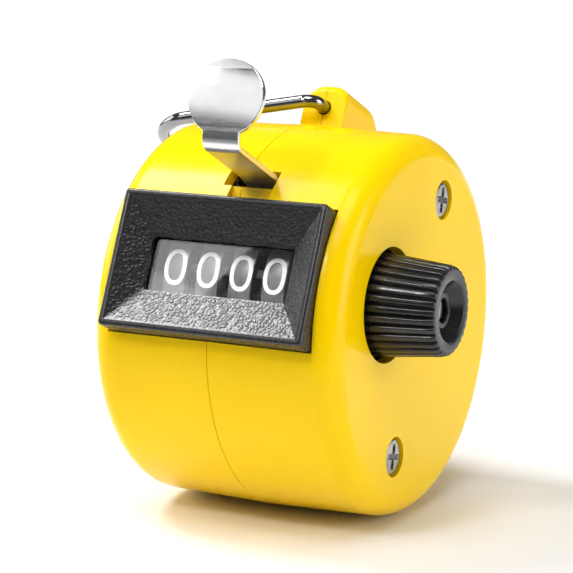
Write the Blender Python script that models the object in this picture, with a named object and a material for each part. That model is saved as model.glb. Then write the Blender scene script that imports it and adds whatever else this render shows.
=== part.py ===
"""Hand tally counter: a drum-shaped case with four number wheels, thumb lever, reset knob and finger ring.

Everything is modelled in the case's own frame, which leans back about the drum axis:
+X is the drum axis towards the reset knob, -Y is where the window faces, +Z points at the ring lug.
"""

import math

import bmesh
import bpy
from mathutils import Matrix

MM = 0.001

# Case: a moulded drum lying on its side, split in two shells at its middle plane.
CASE_LEAN = math.radians(25.0)
DRUM_RADIUS = 23.0 * MM
DRUM_END_RADIUS = 22.7 * MM
DRUM_HALF_WIDTH = 16.0 * MM
DRUM_FILLET = 3.0 * MM
WALL = 1.6 * MM
SEAM_GAP = 0.2 * MM
FIT_GAP = 0.3 * MM

# Window bezel and its lens, centred a little below the drum axis.
BEZEL_SIZE = (26.1 * MM, 16.4 * MM)
BEZEL_CENTRE_Z = -0.4 * MM
BEZEL_FRONT = -24.0 * MM
BEZEL_BACK = -20.7 * MM
BEZEL_RIM = 0.8 * MM
WINDOW_SIZE = (18.4 * MM, 6.4 * MM)
WINDOW_FRONT = -22.0 * MM
LENS_FRONT = -21.4 * MM
LENS_THICKNESS = 0.55 * MM
LENS_LAP = 1.0 * MM
LENS_GAP = 0.1 * MM
POCKET_FLOOR = -20.4 * MM

# Lever slot: a through slot above the bezel, with a flat landing between the slot and the bezel.
SLOT_X = (-2.3 * MM, 4.1 * MM)
SLOT_Z = (9.9 * MM, 12.3 * MM)
LANDING_X = (-1.2 * MM, 4.1 * MM)
LANDING_Y = -20.4 * MM
LANDING_LAP = 1.0 * MM
SLOT_INNER_Y = -17.0 * MM

# Ring lug on top of the drum, moulded half on each shell.
LUG_HALF_WIDTH = 2.8 * MM
LUG_Y = (-4.3 * MM, 6.3 * MM)
LUG_TOP = 28.0 * MM
LUG_FOOT = 21.6 * MM
LUG_BACK_FOOT = 21.2 * MM
LUG_FRONT_ROUND = 1.2 * MM
LUG_BACK_ROUND = 2.8 * MM
LUG_SHOULDER = 2.2 * MM
RING_AXIS_Z = 25.0 * MM
RING_HOLE_RADIUS = 1.05 * MM

# Finger ring: a closed wire loop that rests against the left shoulder of the case.
RING_WIRE_RADIUS = 0.8 * MM
RING_CENTRE_Y = 0.4 * MM
RING_HALF_WIDTH = 7.6 * MM
RING_NEAR_BEND = 1.6 * MM
RING_FAR_BEND = 3.5 * MM
RING_FAR_RADIUS = 8.2 * MM
RING_REACH = 23.4 * MM
RING_DROOP = math.radians(11.0)

# Counter shaft, number wheels and transfer gears.
COUNTER_Y = -9.5 * MM
COUNTER_Z = 0.2 * MM
SHAFT_RADIUS = 1.5 * MM
SHAFT_BORE = 1.8 * MM
SHAFT_X = (-12.9 * MM, 22.4 * MM)
SHAFT_TIP_RADIUS = 1.2 * MM
SPACER_RADIUS = 2.6 * MM
SPACER_END = -8.65 * MM
CLIP_RADIUS = 2.7 * MM
WHEEL_RADIUS = 9.85 * MM
WHEEL_PITCH = 4.3 * MM
WHEEL_STACK_X = -0.45 * MM
BAND_WIDTH = 2.9 * MM
GEAR_WIDTH = 1.0 * MM
GEAR_TEETH = 20
PINION_TEETH = 8
GEAR_CENTRES = 12.0 * MM
GEAR_MODULE = 2.0 * GEAR_CENTRES / (GEAR_TEETH + PINION_TEETH)
GEAR_ADDENDUM = 0.5 * MM
GEAR_DEDENDUM = 0.8 * MM
PINION_AXIS = (COUNTER_Y + GEAR_CENTRES, COUNTER_Z)
PINION_SIDE_GAP = 0.1 * MM
PINION_SHAFT_RADIUS = 0.8 * MM
PINION_BORE = 1.1 * MM
RATCHET_TEETH = 10
RATCHET_RADIUS = 3.0 * MM
RATCHET_ROOT_SHARE = 0.78
RATCHET_X = (8.2 * MM, 9.2 * MM)
UNITS_HUB_RADIUS = 2.6 * MM

# Reset knob.
KNOB_X = (14.8 * MM, 23.8 * MM)
KNOB_ROOT_RADIUS = 6.1 * MM
KNOB_TIP_RADIUS = 5.2 * MM
KNOB_FLUTES = 30
KNOB_FLUTE_DEPTH = 0.45 * MM
KNOB_RECESS_RADIUS = 3.5 * MM
KNOB_RECESS_DEPTH = 2.0 * MM
KNOB_BOSS_RADIUS = 2.3 * MM
KNOB_HOLE_RADIUS = 6.75 * MM
KNOB_END_CHAMFER = (0.6 * MM, 0.9 * MM)
KNOB_BOSS_SINK = 1.0 * MM
KNOB_BORE_STEP = 18.0 * MM
KNOB_BORE_GAP = 0.25 * MM
CLIP_GROOVE = (0.5 * MM, 1.1 * MM)
CLIP_GROOVE_DEPTH = 0.4 * MM

# Frame plates and the rods between them.
PLATE_X = (10.6 * MM, 11.6 * MM)
PLATE_CORNER_RADIUS = 1.0 * MM
PIN_OVERHANG = 0.8 * MM
ROD_RADIUS = 1.0 * MM
ROD_REACH = 12.9 * MM
ROD_COLLAR_RADIUS = 1.6 * MM
ROD_COLLAR_GAP = 0.2 * MM
ROD_PLACES = {
    "frame_rod_front": (-13.5 * MM, -12.2 * MM),
    "frame_rod_lower": (6.5 * MM, -9.5 * MM),
    "frame_rod_rear": (9.5 * MM, 6.0 * MM),
}
SOCKET_RADIUS = 2.2 * MM
SOCKET_START = 11.9 * MM

# Case screws go in from the knob side, above and below the drum axis.
SCREW_OFFSET = 15.75 * MM
SCREW_HEAD_RADIUS = 2.25 * MM
SCREW_HEAD_HEIGHT = 1.3 * MM
SCREW_SINK = 0.2 * MM
SCREW_SHANK_RADIUS = 1.1 * MM
SCREW_END = -8.0 * MM
BOSS_RADIUS = 3.3 * MM

# Thumb lever: a flat strip out of the slot, bent up into a round pad.
LEVER_PIVOT = (-15.6 * MM, 12.2 * MM)
LEVER_X = 1.5 * MM
LEVER_THICKNESS = 0.7 * MM
LEVER_HALF_WIDTH = 2.3 * MM
LEVER_BEND = (-30.08 * MM, 11.77 * MM)
LEVER_SLOT_POINT = (-20.0 * MM, 11.45 * MM)
LEVER_BEND_LEG = 1.1 * MM
PAD_CENTRE = (-30.65 * MM, 17.2 * MM)
PAD_HALF_WIDTH = 4.75 * MM
PAD_HALF_HEIGHT = 4.45 * MM
HUB_RADIUS = 1.3 * MM
HUB_BORE = 1.0 * MM
HUB_X = (-0.8 * MM, 10.2 * MM)
ARM_X = (9.4 * MM, 10.2 * MM)
PIVOT_PIN_RADIUS = 0.7 * MM

# Drive pawl, hung on the lever's arm above the ratchet wheel.
PAWL_PIN = (-14.9 * MM, 2.9 * MM)
PAWL_PIN_RADIUS = 0.55 * MM
PAWL_X = (8.3 * MM, 9.1 * MM)
PAWL_LENGTH = 4.4 * MM
PAWL_TIP_LOW = 0.6 * MM
PAWL_TIP_HIGH = 1.9 * MM
PAWL_HEEL_RADIUS = 1.3 * MM

# Springs: a torsion coil round the lever's pivot pin, and two leaf springs.
SPRING_WIRE_RADIUS = 0.2 * MM
COIL_RADIUS = 1.25 * MM
COIL_X = (-7.0 * MM, -2.6 * MM)
COIL_TURNS = 5
COIL_LEGS = (3.4 * MM, 2.6 * MM)
STOP_LEAF_HALF_WIDTH = 0.45 * MM
STOP_LEAF_THICKNESS = 0.3 * MM
STOP_LEAF_TIP = [(-11.6 * MM, -5.6 * MM), (-10.4 * MM, -3.6 * MM)]
PAWL_LEAF_HALF_WIDTH = 0.3 * MM
PAWL_LEAF_THICKNESS = 0.25 * MM

# Screw heads: a crossed recess.
RECESS_LONG = 1.25 * MM
RECESS_SHORT = 0.32 * MM
RECESS_DEPTH = 0.8 * MM

# Sides of round pieces, and a length that reaches past the whole case.
ROUND = 56
SMALL_ROUND = 20
PIN_ROUND = 14
PAST = 30.0 * MM


# ---- scene, materials and object helpers ----

def clear_scene():
    for item in list(bpy.data.objects):
        bpy.data.objects.remove(item, do_unlink=True)


def make_material(name, colour, roughness, metallic=0.0):
    material = bpy.data.materials.new(name)
    material.use_nodes = True
    shader = material.node_tree.nodes["Principled BSDF"]
    shader.inputs["Base Color"].default_value = (*colour, 1.0)
    shader.inputs["Roughness"].default_value = roughness
    shader.inputs["Metallic"].default_value = metallic
    return material


def make_empty(name, parent=None, location=(0.0, 0.0, 0.0), lean=0.0):
    empty = bpy.data.objects.new(name, None)
    empty.empty_display_size = 0.005
    empty.location = location
    empty.rotation_euler = (lean, 0.0, 0.0)
    empty.parent = parent
    bpy.context.scene.collection.objects.link(empty)
    return empty


def add_object(name, bm, parent, material=None, smooth=True, location=(0.0, 0.0, 0.0)):
    """Turn a bmesh into a named object with outward faces, under its joint's empty."""
    bmesh.ops.recalc_face_normals(bm, faces=bm.faces)
    mesh = bpy.data.meshes.new(name)
    bm.to_mesh(mesh)
    bm.free()
    if smooth:
        mesh.shade_smooth()
        mesh.set_sharp_from_angle(angle=math.radians(35.0))
    if material:
        mesh.materials.append(material)
    item = bpy.data.objects.new(name, mesh)
    item.parent = parent
    item.location = location
    bpy.context.scene.collection.objects.link(item)
    return item


def add_tool(name, bm, parent, location=(0.0, 0.0, 0.0)):
    """A solid that only shapes other pieces."""
    tool = add_object(name, bm, parent, smooth=False, location=location)
    tool.hide_render = True
    tool.display_type = "WIRE"
    return tool


def combine(target, tool, operation):
    modifier = target.modifiers.new(tool.name, "BOOLEAN")
    modifier.operation = operation
    modifier.solver = "EXACT"
    modifier.object = tool


# ---- shape helpers, all with their axis along X ----

def bridge_rings(bm, rings, closed):
    """Faces between neighbouring rings of points. A ring of one point is a tip on the axis."""
    pairs = list(zip(rings, rings[1:]))
    if closed:
        pairs.append((rings[-1], rings[0]))
    for first, second in pairs:
        sides = max(len(first), len(second))
        for k in range(sides):
            n = (k + 1) % sides
            corners = [first[k % len(first)], first[n % len(first)]]
            corners += [second[n % len(second)], second[k % len(second)]]
            bm.faces.new(list(dict.fromkeys(corners)))


def turned(profile, sides, bm=None, centre=(0.0, 0.0)):
    """Skin a profile of (x, radius) round the X axis. A radius may be a list that repeats round the ring."""
    bm = bm or bmesh.new()
    rings = []
    for x, radius in profile:
        if radius == 0.0:
            rings.append([bm.verts.new((x, centre[0], centre[1]))])
            continue
        ring = []
        for k in range(sides):
            angle = 2.0 * math.pi * k / sides
            r = radius[k % len(radius)] if isinstance(radius, list) else radius
            ring.append(bm.verts.new((x, centre[0] + r * math.cos(angle), centre[1] + r * math.sin(angle))))
        rings.append(ring)
    bridge_rings(bm, rings, closed=len(rings[0]) > 1)
    return bm


def disc(radius, x0, x1, sides=SMALL_ROUND, centre=(0.0, 0.0), bm=None):
    return turned([(x0, 0.0), (x0, radius), (x1, radius), (x1, 0.0)], sides, bm, centre)


def tube(outer, inner, x0, x1, sides=SMALL_ROUND, centre=(0.0, 0.0), bm=None):
    return turned([(x0, inner), (x0, outer), (x1, outer), (x1, inner)], sides, bm, centre)


def prism(outline, x0, x1, bm=None):
    """Extrude a closed outline of (y, z) points along X."""
    bm = bm or bmesh.new()
    start = [bm.verts.new((x0, y, z)) for y, z in outline]
    end = [bm.verts.new((x1, y, z)) for y, z in outline]
    bm.faces.new(start)
    bm.faces.new(end)
    bridge_rings(bm, [start, end], closed=False)
    return bm


def box(x, y, z, bm=None):
    return prism([(y[0], z[0]), (y[1], z[0]), (y[1], z[1]), (y[0], z[1])], x[0], x[1], bm)


def arc(centre, radius, start, end, steps):
    """Points on an arc round a centre in any plane, angles in degrees."""
    points = []
    for k in range(steps + 1):
        angle = math.radians(start + (end - start) * k / steps)
        points.append((centre[0] + radius * math.cos(angle), centre[1] + radius * math.sin(angle)))
    return points


def rounded_outline(corners, radius, steps=3):
    """Round every corner of a closed polygon of (y, z) points."""
    points = []
    count = len(corners)
    for k in range(count):
        here = corners[k]
        before = corners[k - 1]
        after = corners[(k + 1) % count]
        ends = []
        for other in (before, after):
            length = math.dist(here, other)
            ends.append([here[i] + (other[i] - here[i]) * radius / length for i in range(2)])
        for s in range(steps + 1):
            t = s / steps
            weights = ((1 - t) ** 2, 2 * t * (1 - t), t ** 2)
            points.append(tuple(
                weights[0] * ends[0][i] + weights[1] * here[i] + weights[2] * ends[1][i] for i in range(2)
            ))
    return points


def add_wire(name, points, radius, parent, material, closed=False, sides=2, location=(0.0, 0.0, 0.0)):
    """A round wire along a list of points."""
    curve = bpy.data.curves.new(name, "CURVE")
    curve.dimensions = "3D"
    curve.bevel_depth = radius
    curve.bevel_resolution = sides
    curve.use_fill_caps = not closed
    spline = curve.splines.new("POLY")
    spline.points.add(len(points) - 1)
    for point, place in zip(spline.points, points):
        point.co = (*place, 1.0)
    spline.use_cyclic_u = closed
    spline.use_smooth = True
    curve.materials.append(material)
    item = bpy.data.objects.new(name, curve)
    item.parent = parent
    item.location = location
    bpy.context.scene.collection.objects.link(item)
    return item


# ---- case ----

def shell_profile(side):
    """Closed (x, radius) profile of one cup-shaped shell; side is -1 for left and +1 for right."""
    fillet_centre = (DRUM_HALF_WIDTH - DRUM_FILLET, DRUM_END_RADIUS - DRUM_FILLET)
    points = [(DRUM_HALF_WIDTH, 0.0)]
    points += arc(fillet_centre, DRUM_FILLET, 0.0, 90.0, 5)
    points += [(SEAM_GAP / 2, DRUM_RADIUS), (SEAM_GAP / 2, DRUM_RADIUS - WALL)]
    points += arc(fillet_centre, DRUM_FILLET - WALL, 90.0, 0.0, 2)
    points.append((DRUM_HALF_WIDTH - WALL, 0.0))
    return [(side * x, radius) for x, radius in points]


def lug_crest():
    """(y, z) points along the top of the lug, from its front face to its back face."""
    front_round = (LUG_Y[0] + LUG_FRONT_ROUND, LUG_TOP - LUG_FRONT_ROUND)
    back_round = (LUG_Y[1] - LUG_BACK_ROUND, LUG_TOP - LUG_BACK_ROUND)
    return arc(front_round, LUG_FRONT_ROUND, 180.0, 90.0, 3) + arc(back_round, LUG_BACK_ROUND, 90.0, 0.0, 5)


def lug_half(side):
    """One half of the arch-shaped ring lug, lofted from front to back."""
    near = side * SEAM_GAP / 2
    rings = []
    bm = bmesh.new()
    for y, top in lug_crest():
        share = (y - LUG_Y[0]) / (LUG_Y[1] - LUG_Y[0])
        foot = LUG_FOOT + (LUG_BACK_FOOT - LUG_FOOT) * share
        shoulder = (LUG_HALF_WIDTH - LUG_SHOULDER, top - LUG_SHOULDER)
        points = [(near, foot), (side * LUG_HALF_WIDTH, foot)]
        points += [(side * x, z) for x, z in arc(shoulder, LUG_SHOULDER, 0.0, 90.0, 5)]
        points.append((near, top))
        rings.append([bm.verts.new((x, y, z)) for x, z in points])
    bridge_rings(bm, rings, closed=False)
    bm.faces.new(rings[0])
    bm.faces.new(rings[-1])
    return bm


def case_additions(side, case):
    """Bosses, rod sockets and the lug half that are moulded on one shell."""
    inner_wall = DRUM_HALF_WIDTH - WALL / 2
    near = SEAM_GAP / 2
    bm = bmesh.new()
    for z in (SCREW_OFFSET, -SCREW_OFFSET):
        disc(BOSS_RADIUS, side * near, side * inner_wall, SMALL_ROUND, (0.0, z), bm)
    for place in ROD_PLACES.values():
        disc(SOCKET_RADIUS, side * SOCKET_START, side * inner_wall, PIN_ROUND, place, bm)
    lug = lug_half(side)
    name = "left" if side < 0 else "right"
    return [add_tool("shell_bosses_" + name, bm, case), add_tool("ring_lug_" + name, lug, case)]


def case_openings(side, case):
    """Everything that is cut out of one shell."""
    half_x = BEZEL_SIZE[0] / 2 + FIT_GAP
    half_z = BEZEL_SIZE[1] / 2 + FIT_GAP
    low, high = BEZEL_CENTRE_Z - half_z, BEZEL_CENTRE_Z + half_z
    name = "left" if side < 0 else "right"
    bm = box((-half_x, half_x), (-PAST, POCKET_FLOOR), (low, high))
    pocket = add_tool("bezel_pocket_" + name, bm, case)
    bm = box(LANDING_X, (-PAST, LANDING_Y), (high - LANDING_LAP, SLOT_Z[0] + LANDING_LAP))
    landing = add_tool("lever_landing_" + name, bm, case)
    bm = box(SLOT_X, (-PAST, SLOT_INNER_Y), SLOT_Z)
    slot = add_tool("lever_slot_" + name, bm, case)
    bm = disc(RING_HOLE_RADIUS, -1.5 * LUG_Y[1], 1.5 * LUG_Y[1], 16)
    bmesh.ops.rotate(bm, verts=bm.verts, matrix=Matrix.Rotation(math.radians(90.0), 3, "Z"))
    bmesh.ops.translate(bm, verts=bm.verts, vec=(0.0, 0.0, RING_AXIS_Z))
    ring_hole = add_tool("ring_hole_" + name, bm, case)
    tools = [pocket, landing, slot, ring_hole]

    bm = bmesh.new()
    socket_start = SOCKET_START - 1.0 * MM
    socket_end = ROD_REACH + FIT_GAP
    for place in ROD_PLACES.values():
        disc(ROD_RADIUS + FIT_GAP, side * socket_start, side * socket_end, PIN_ROUND, place, bm)
    for z in (SCREW_OFFSET, -SCREW_OFFSET):
        centre = (0.0, z)
        bore = SCREW_SHANK_RADIUS + FIT_GAP
        if side > 0:
            seat = DRUM_HALF_WIDTH - SCREW_SINK - SCREW_HEAD_HEIGHT - FIT_GAP
            sink = SCREW_HEAD_RADIUS + FIT_GAP
            start = -1.0 * MM
            profile = [(start, 0.0), (start, bore), (seat, bore), (seat, sink), (PAST, sink), (PAST, 0.0)]
            turned(profile, SMALL_ROUND, bm, centre)
        else:
            disc(bore, SCREW_END - FIT_GAP, 1.0 * MM, SMALL_ROUND, centre, bm)
    if side > 0:
        disc(KNOB_HOLE_RADIUS, DRUM_HALF_WIDTH / 2, PAST, 40, (COUNTER_Y, COUNTER_Z), bm)
    tools.append(add_tool("shell_bores_" + name, bm, case))
    return tools


def make_case(case, plastic):
    for side, name in ((-1, "left_case_shell"), (1, "right_case_shell")):
        shell = add_object(name, turned(shell_profile(side), ROUND), case, plastic)
        for tool in case_additions(side, case):
            combine(shell, tool, "UNION")
        for tool in case_openings(side, case):
            combine(shell, tool, "DIFFERENCE")


def make_screws(case, steel):
    head_top = DRUM_HALF_WIDTH - SCREW_SINK
    seat = head_top - SCREW_HEAD_HEIGHT
    profile = [
        (SCREW_END, 0.0),
        (SCREW_END + 1.0 * MM, SCREW_SHANK_RADIUS),
        (seat, SCREW_SHANK_RADIUS),
        (seat, SCREW_HEAD_RADIUS),
        (head_top - 0.5 * MM, SCREW_HEAD_RADIUS),
        (head_top, SCREW_HEAD_RADIUS * 0.72),
        (head_top, 0.0),
    ]
    for name, z in (("case_screw_upper", SCREW_OFFSET), ("case_screw_lower", -SCREW_OFFSET)):
        screw = add_object(name, turned(profile, SMALL_ROUND), case, steel, location=(0.0, 0.0, z))
        depth = (head_top - RECESS_DEPTH, head_top + RECESS_DEPTH)
        for number, sizes in enumerate(((RECESS_LONG, RECESS_SHORT), (RECESS_SHORT, RECESS_LONG))):
            bar = box(depth, (-sizes[0], sizes[0]), (-sizes[1], sizes[1]))
            combine(screw, add_tool(f"{name}_recess_{number}", bar, case, (0.0, 0.0, z)), "DIFFERENCE")


def rectangle_ring(bm, half_x, half_z, y):
    corners = ((-half_x, -half_z), (half_x, -half_z), (half_x, half_z), (-half_x, half_z))
    return [bm.verts.new((x, y, BEZEL_CENTRE_Z + z)) for x, z in corners]


def make_window(case, frame_plastic, clear):
    half_x, half_z = BEZEL_SIZE[0] / 2, BEZEL_SIZE[1] / 2
    open_x, open_z = WINDOW_SIZE[0] / 2, WINDOW_SIZE[1] / 2
    seat_x, seat_z = open_x + LENS_LAP, open_z + LENS_LAP
    lens_seat = LENS_FRONT - LENS_GAP
    stations = [
        (half_x, half_z, BEZEL_BACK),
        (half_x, half_z, BEZEL_FRONT),
        (half_x - BEZEL_RIM, half_z - BEZEL_RIM, BEZEL_FRONT),
        (open_x, open_z, WINDOW_FRONT),
        (open_x, open_z, lens_seat),
        (seat_x, seat_z, lens_seat),
        (seat_x, seat_z, BEZEL_BACK),
    ]
    bm = bmesh.new()
    bridge_rings(bm, [rectangle_ring(bm, *station) for station in stations], closed=True)
    add_object("window_bezel", bm, case, frame_plastic, smooth=False)

    lens_x, lens_z = seat_x - 2.0 * LENS_GAP, seat_z - 2.0 * LENS_GAP
    z = (BEZEL_CENTRE_Z - lens_z, BEZEL_CENTRE_Z + lens_z)
    bm = box((-lens_x, lens_x), (LENS_FRONT, LENS_FRONT + LENS_THICKNESS), z)
    add_object("window_lens", bm, case, clear, smooth=False)


# ---- frame inside the case ----

def plate_outline():
    corners = [
        (-17.0 * MM, 11.6 * MM), (-17.0 * MM, -5.0 * MM), (-15.2 * MM, -13.6 * MM), (-9.0 * MM, -13.6 * MM),
        (-5.5 * MM, -11.4 * MM), (8.4 * MM, -11.4 * MM), (11.8 * MM, 5.0 * MM), (9.5 * MM, 8.6 * MM),
        (-7.5 * MM, 8.6 * MM), (-12.8 * MM, 13.7 * MM), (-15.6 * MM, 13.7 * MM),
    ]
    return rounded_outline(corners, PLATE_CORNER_RADIUS, 2)


def make_frame(case, sheet, steel):
    holes = {
        (COUNTER_Y, COUNTER_Z): SHAFT_BORE,
        PINION_AXIS: PINION_SHAFT_RADIUS + FIT_GAP,
        LEVER_PIVOT: PIVOT_PIN_RADIUS + FIT_GAP,
    }
    for place in ROD_PLACES.values():
        holes[place] = ROD_RADIUS + FIT_GAP
    for side, name in ((-1, "left_frame_plate"), (1, "right_frame_plate")):
        bm = prism(plate_outline(), side * PLATE_X[0], side * PLATE_X[1])
        plate = add_object(name, bm, case, sheet, smooth=False)
        bm = bmesh.new()
        for place, radius in holes.items():
            disc(radius, side * (PLATE_X[0] - MM), side * (PLATE_X[1] + MM), 16, place, bm)
        combine(plate, add_tool(name + "_holes", bm, case), "DIFFERENCE")
    for name, place in ROD_PLACES.items():
        inner = PLATE_X[0] - ROD_COLLAR_GAP
        profile = [
            (-ROD_REACH, 0.0), (-ROD_REACH, ROD_RADIUS), (-inner, ROD_RADIUS), (-inner, ROD_COLLAR_RADIUS),
            (inner, ROD_COLLAR_RADIUS), (inner, ROD_RADIUS), (ROD_REACH, ROD_RADIUS), (ROD_REACH, 0.0),
        ]
        add_object(name, turned(profile, PIN_ROUND), case, steel, location=(0.0, *place))
    reach = PLATE_X[1] + PIN_OVERHANG
    shaft = disc(PINION_SHAFT_RADIUS, -reach, reach, PIN_ROUND)
    add_object("pinion_shaft", shaft, case, steel, location=(0.0, *PINION_AXIS))
    pin = disc(PIVOT_PIN_RADIUS, -reach, reach, PIN_ROUND)
    add_object("lever_pivot_pin", pin, case, steel, location=(0.0, *LEVER_PIVOT))
    spacer = tube(SPACER_RADIUS, SHAFT_BORE, FIT_GAP - PLATE_X[0], SPACER_END)
    add_object("shaft_spacer", spacer, case, sheet, location=(0.0, COUNTER_Y, COUNTER_Z))


def strip_along(path, half_width, thickness, x_centre):
    """A flat strip of even thickness along a (y, z) path; half_width may be one value for each point."""
    bm = bmesh.new()
    rows = []
    count = len(path)
    widths = half_width if isinstance(half_width, list) else [half_width] * count
    for k in range(count):
        before, after = path[max(k - 1, 0)], path[min(k + 1, count - 1)]
        length = math.dist(before, after)
        along = ((after[0] - before[0]) / length, (after[1] - before[1]) / length)
        offset = (-along[1] * thickness / 2, along[0] * thickness / 2)
        row = []
        for x_side, n_side in ((-1, -1), (1, -1), (1, 1), (-1, 1)):
            y = path[k][0] + n_side * offset[0]
            z = path[k][1] + n_side * offset[1]
            row.append(bm.verts.new((x_centre + x_side * widths[k], y, z)))
        rows.append(row)
    bm.faces.new(rows[0])
    bm.faces.new(rows[-1])
    bridge_rings(bm, rows, closed=False)
    return bm


def coil_path(steps=10):
    """Points of a torsion spring round X, with a straight leg at each end."""
    count = COIL_TURNS * steps
    points = [(COIL_X[0], COIL_RADIUS, -COIL_LEGS[0])]
    for k in range(count + 1):
        angle = 2.0 * math.pi * k / steps
        x = COIL_X[0] + (COIL_X[1] - COIL_X[0]) * k / count
        points.append((x, COIL_RADIUS * math.cos(angle), COIL_RADIUS * math.sin(angle)))
    points.append((COIL_X[1], COIL_RADIUS, COIL_LEGS[1]))
    return points


def make_springs(case, spring_steel):
    place = (0.0, *LEVER_PIVOT)
    coil = coil_path()
    add_wire("lever_return_spring", coil, SPRING_WIRE_RADIUS, case, spring_steel, sides=1, location=place)
    rod = ROD_PLACES["frame_rod_front"]
    foot = [(rod[0] + 2.6 * MM, rod[1] + 0.2 * MM), (rod[0] + 2.2 * MM, rod[1] + 2.0 * MM)]
    middle = (RATCHET_X[0] + RATCHET_X[1]) / 2
    stop = strip_along(foot + STOP_LEAF_TIP, STOP_LEAF_HALF_WIDTH, STOP_LEAF_THICKNESS, middle)
    add_object("ratchet_stop_spring", stop, case, spring_steel, smooth=False)


# ---- counting wheels ----

def toothed(profile_before, teeth, x0, x1, profile_after, phase):
    """A turned body with a run of gear teeth between x0 and x1."""
    bm = bmesh.new()
    pitch = GEAR_MODULE * teeth / 2
    root, tip = pitch - GEAR_DEDENDUM, pitch + GEAR_ADDENDUM
    shares = (-0.30, -0.115, 0.115, 0.30)
    rings = []
    for x, radius in profile_before + [(x0, None), (x1, None)] + profile_after:
        ring = []
        for tooth in range(teeth):
            for corner, share in enumerate(shares):
                angle = 2.0 * math.pi * (tooth + share + phase) / teeth
                r = radius if radius is not None else (root, tip, tip, root)[corner]
                ring.append(bm.verts.new((x, r * math.cos(angle), r * math.sin(angle))))
        rings.append(ring)
    bridge_rings(bm, rings, closed=True)
    return bm


def wheel_centre(number):
    """Middle of a wheel's number band along the shaft; 0 is thousands and 3 is units."""
    return WHEEL_STACK_X + (number - 1.5) * WHEEL_PITCH


def make_wheels(axis, plastic, brass):
    half = BAND_WIDTH / 2
    for number, name in enumerate(("thousands_wheel", "hundreds_wheel", "tens_wheel")):
        centre = wheel_centre(number)
        left, right = centre - half, centre + half
        before = [(left, SHAFT_BORE), (left, WHEEL_RADIUS), (right, WHEEL_RADIUS)]
        end = right + GEAR_WIDTH
        wheel = toothed(before, GEAR_TEETH, right, end, [(end, SHAFT_BORE)], 0.0)
        add_object(name, wheel, axis, plastic)
    left, right = wheel_centre(3) - half, wheel_centre(3) + half
    hub_end = RATCHET_X[0] - FIT_GAP
    profile = [(left, SHAFT_BORE), (left, WHEEL_RADIUS), (right, WHEEL_RADIUS)]
    profile += [(right, UNITS_HUB_RADIUS), (hub_end, UNITS_HUB_RADIUS), (hub_end, SHAFT_BORE)]
    add_object("units_wheel", turned(profile, 48), axis, plastic)

    left, right = RATCHET_X
    outer = [RATCHET_RADIUS, RATCHET_RADIUS * RATCHET_ROOT_SHARE]
    profile = [(left, SHAFT_BORE), (left, outer), (right, outer), (right, SHAFT_BORE)]
    add_object("ratchet_wheel", turned(profile, RATCHET_TEETH * 2), axis, brass, smooth=False)


def make_pinions(axis, plastic):
    for number, name in enumerate(("thousands_pinion", "hundreds_pinion", "tens_pinion")):
        left = wheel_centre(number) + BAND_WIDTH / 2 + PINION_SIDE_GAP
        right = left + GEAR_WIDTH
        pinion = toothed([(left, PINION_BORE)], PINION_TEETH, left, right, [(right, PINION_BORE)], 0.5)
        add_object(name, pinion, axis, plastic)


def make_knob(axis, plastic, steel):
    root = [KNOB_ROOT_RADIUS, KNOB_ROOT_RADIUS - KNOB_FLUTE_DEPTH]
    tip = [KNOB_TIP_RADIUS, KNOB_TIP_RADIUS - KNOB_FLUTE_DEPTH]
    chamfer_start = KNOB_X[1] - KNOB_END_CHAMFER[0]
    face = KNOB_TIP_RADIUS - KNOB_END_CHAMFER[1]
    floor = KNOB_X[1] - KNOB_RECESS_DEPTH
    boss_top = KNOB_X[1] - KNOB_BOSS_SINK
    bore = SHAFT_TIP_RADIUS + KNOB_BORE_GAP
    root_bore = SHAFT_RADIUS + KNOB_BORE_GAP
    profile = [
        (KNOB_X[0], root_bore), (KNOB_X[0], root), (chamfer_start, tip), (KNOB_X[1], face),
        (KNOB_X[1], KNOB_RECESS_RADIUS), (floor, KNOB_RECESS_RADIUS), (floor, KNOB_BOSS_RADIUS),
        (boss_top, KNOB_BOSS_RADIUS), (boss_top, bore), (KNOB_BORE_STEP, bore), (KNOB_BORE_STEP, root_bore),
    ]
    add_object("reset_knob", turned(profile, KNOB_FLUTES * 2), axis, plastic)

    shoulder = KNOB_BORE_STEP - FIT_GAP
    groove = (SHAFT_X[0] + CLIP_GROOVE[0], SHAFT_X[0] + CLIP_GROOVE[1])
    neck = SHAFT_RADIUS - CLIP_GROOVE_DEPTH
    profile = [
        (SHAFT_X[0], 0.0), (SHAFT_X[0], SHAFT_RADIUS), (groove[0], SHAFT_RADIUS), (groove[0], neck),
        (groove[1], neck), (groove[1], SHAFT_RADIUS), (shoulder, SHAFT_RADIUS), (shoulder, SHAFT_TIP_RADIUS),
        (SHAFT_X[1], SHAFT_TIP_RADIUS), (SHAFT_X[1], 0.0),
    ]
    add_object("counter_shaft", turned(profile, SMALL_ROUND), axis, steel)
    clip = (groove[0] + 0.1 * MM, groove[1] - 0.1 * MM)
    add_object("shaft_clip", tube(CLIP_RADIUS, neck + 0.15 * MM, *clip), axis, steel)


# ---- thumb lever and drive pawl ----

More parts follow.
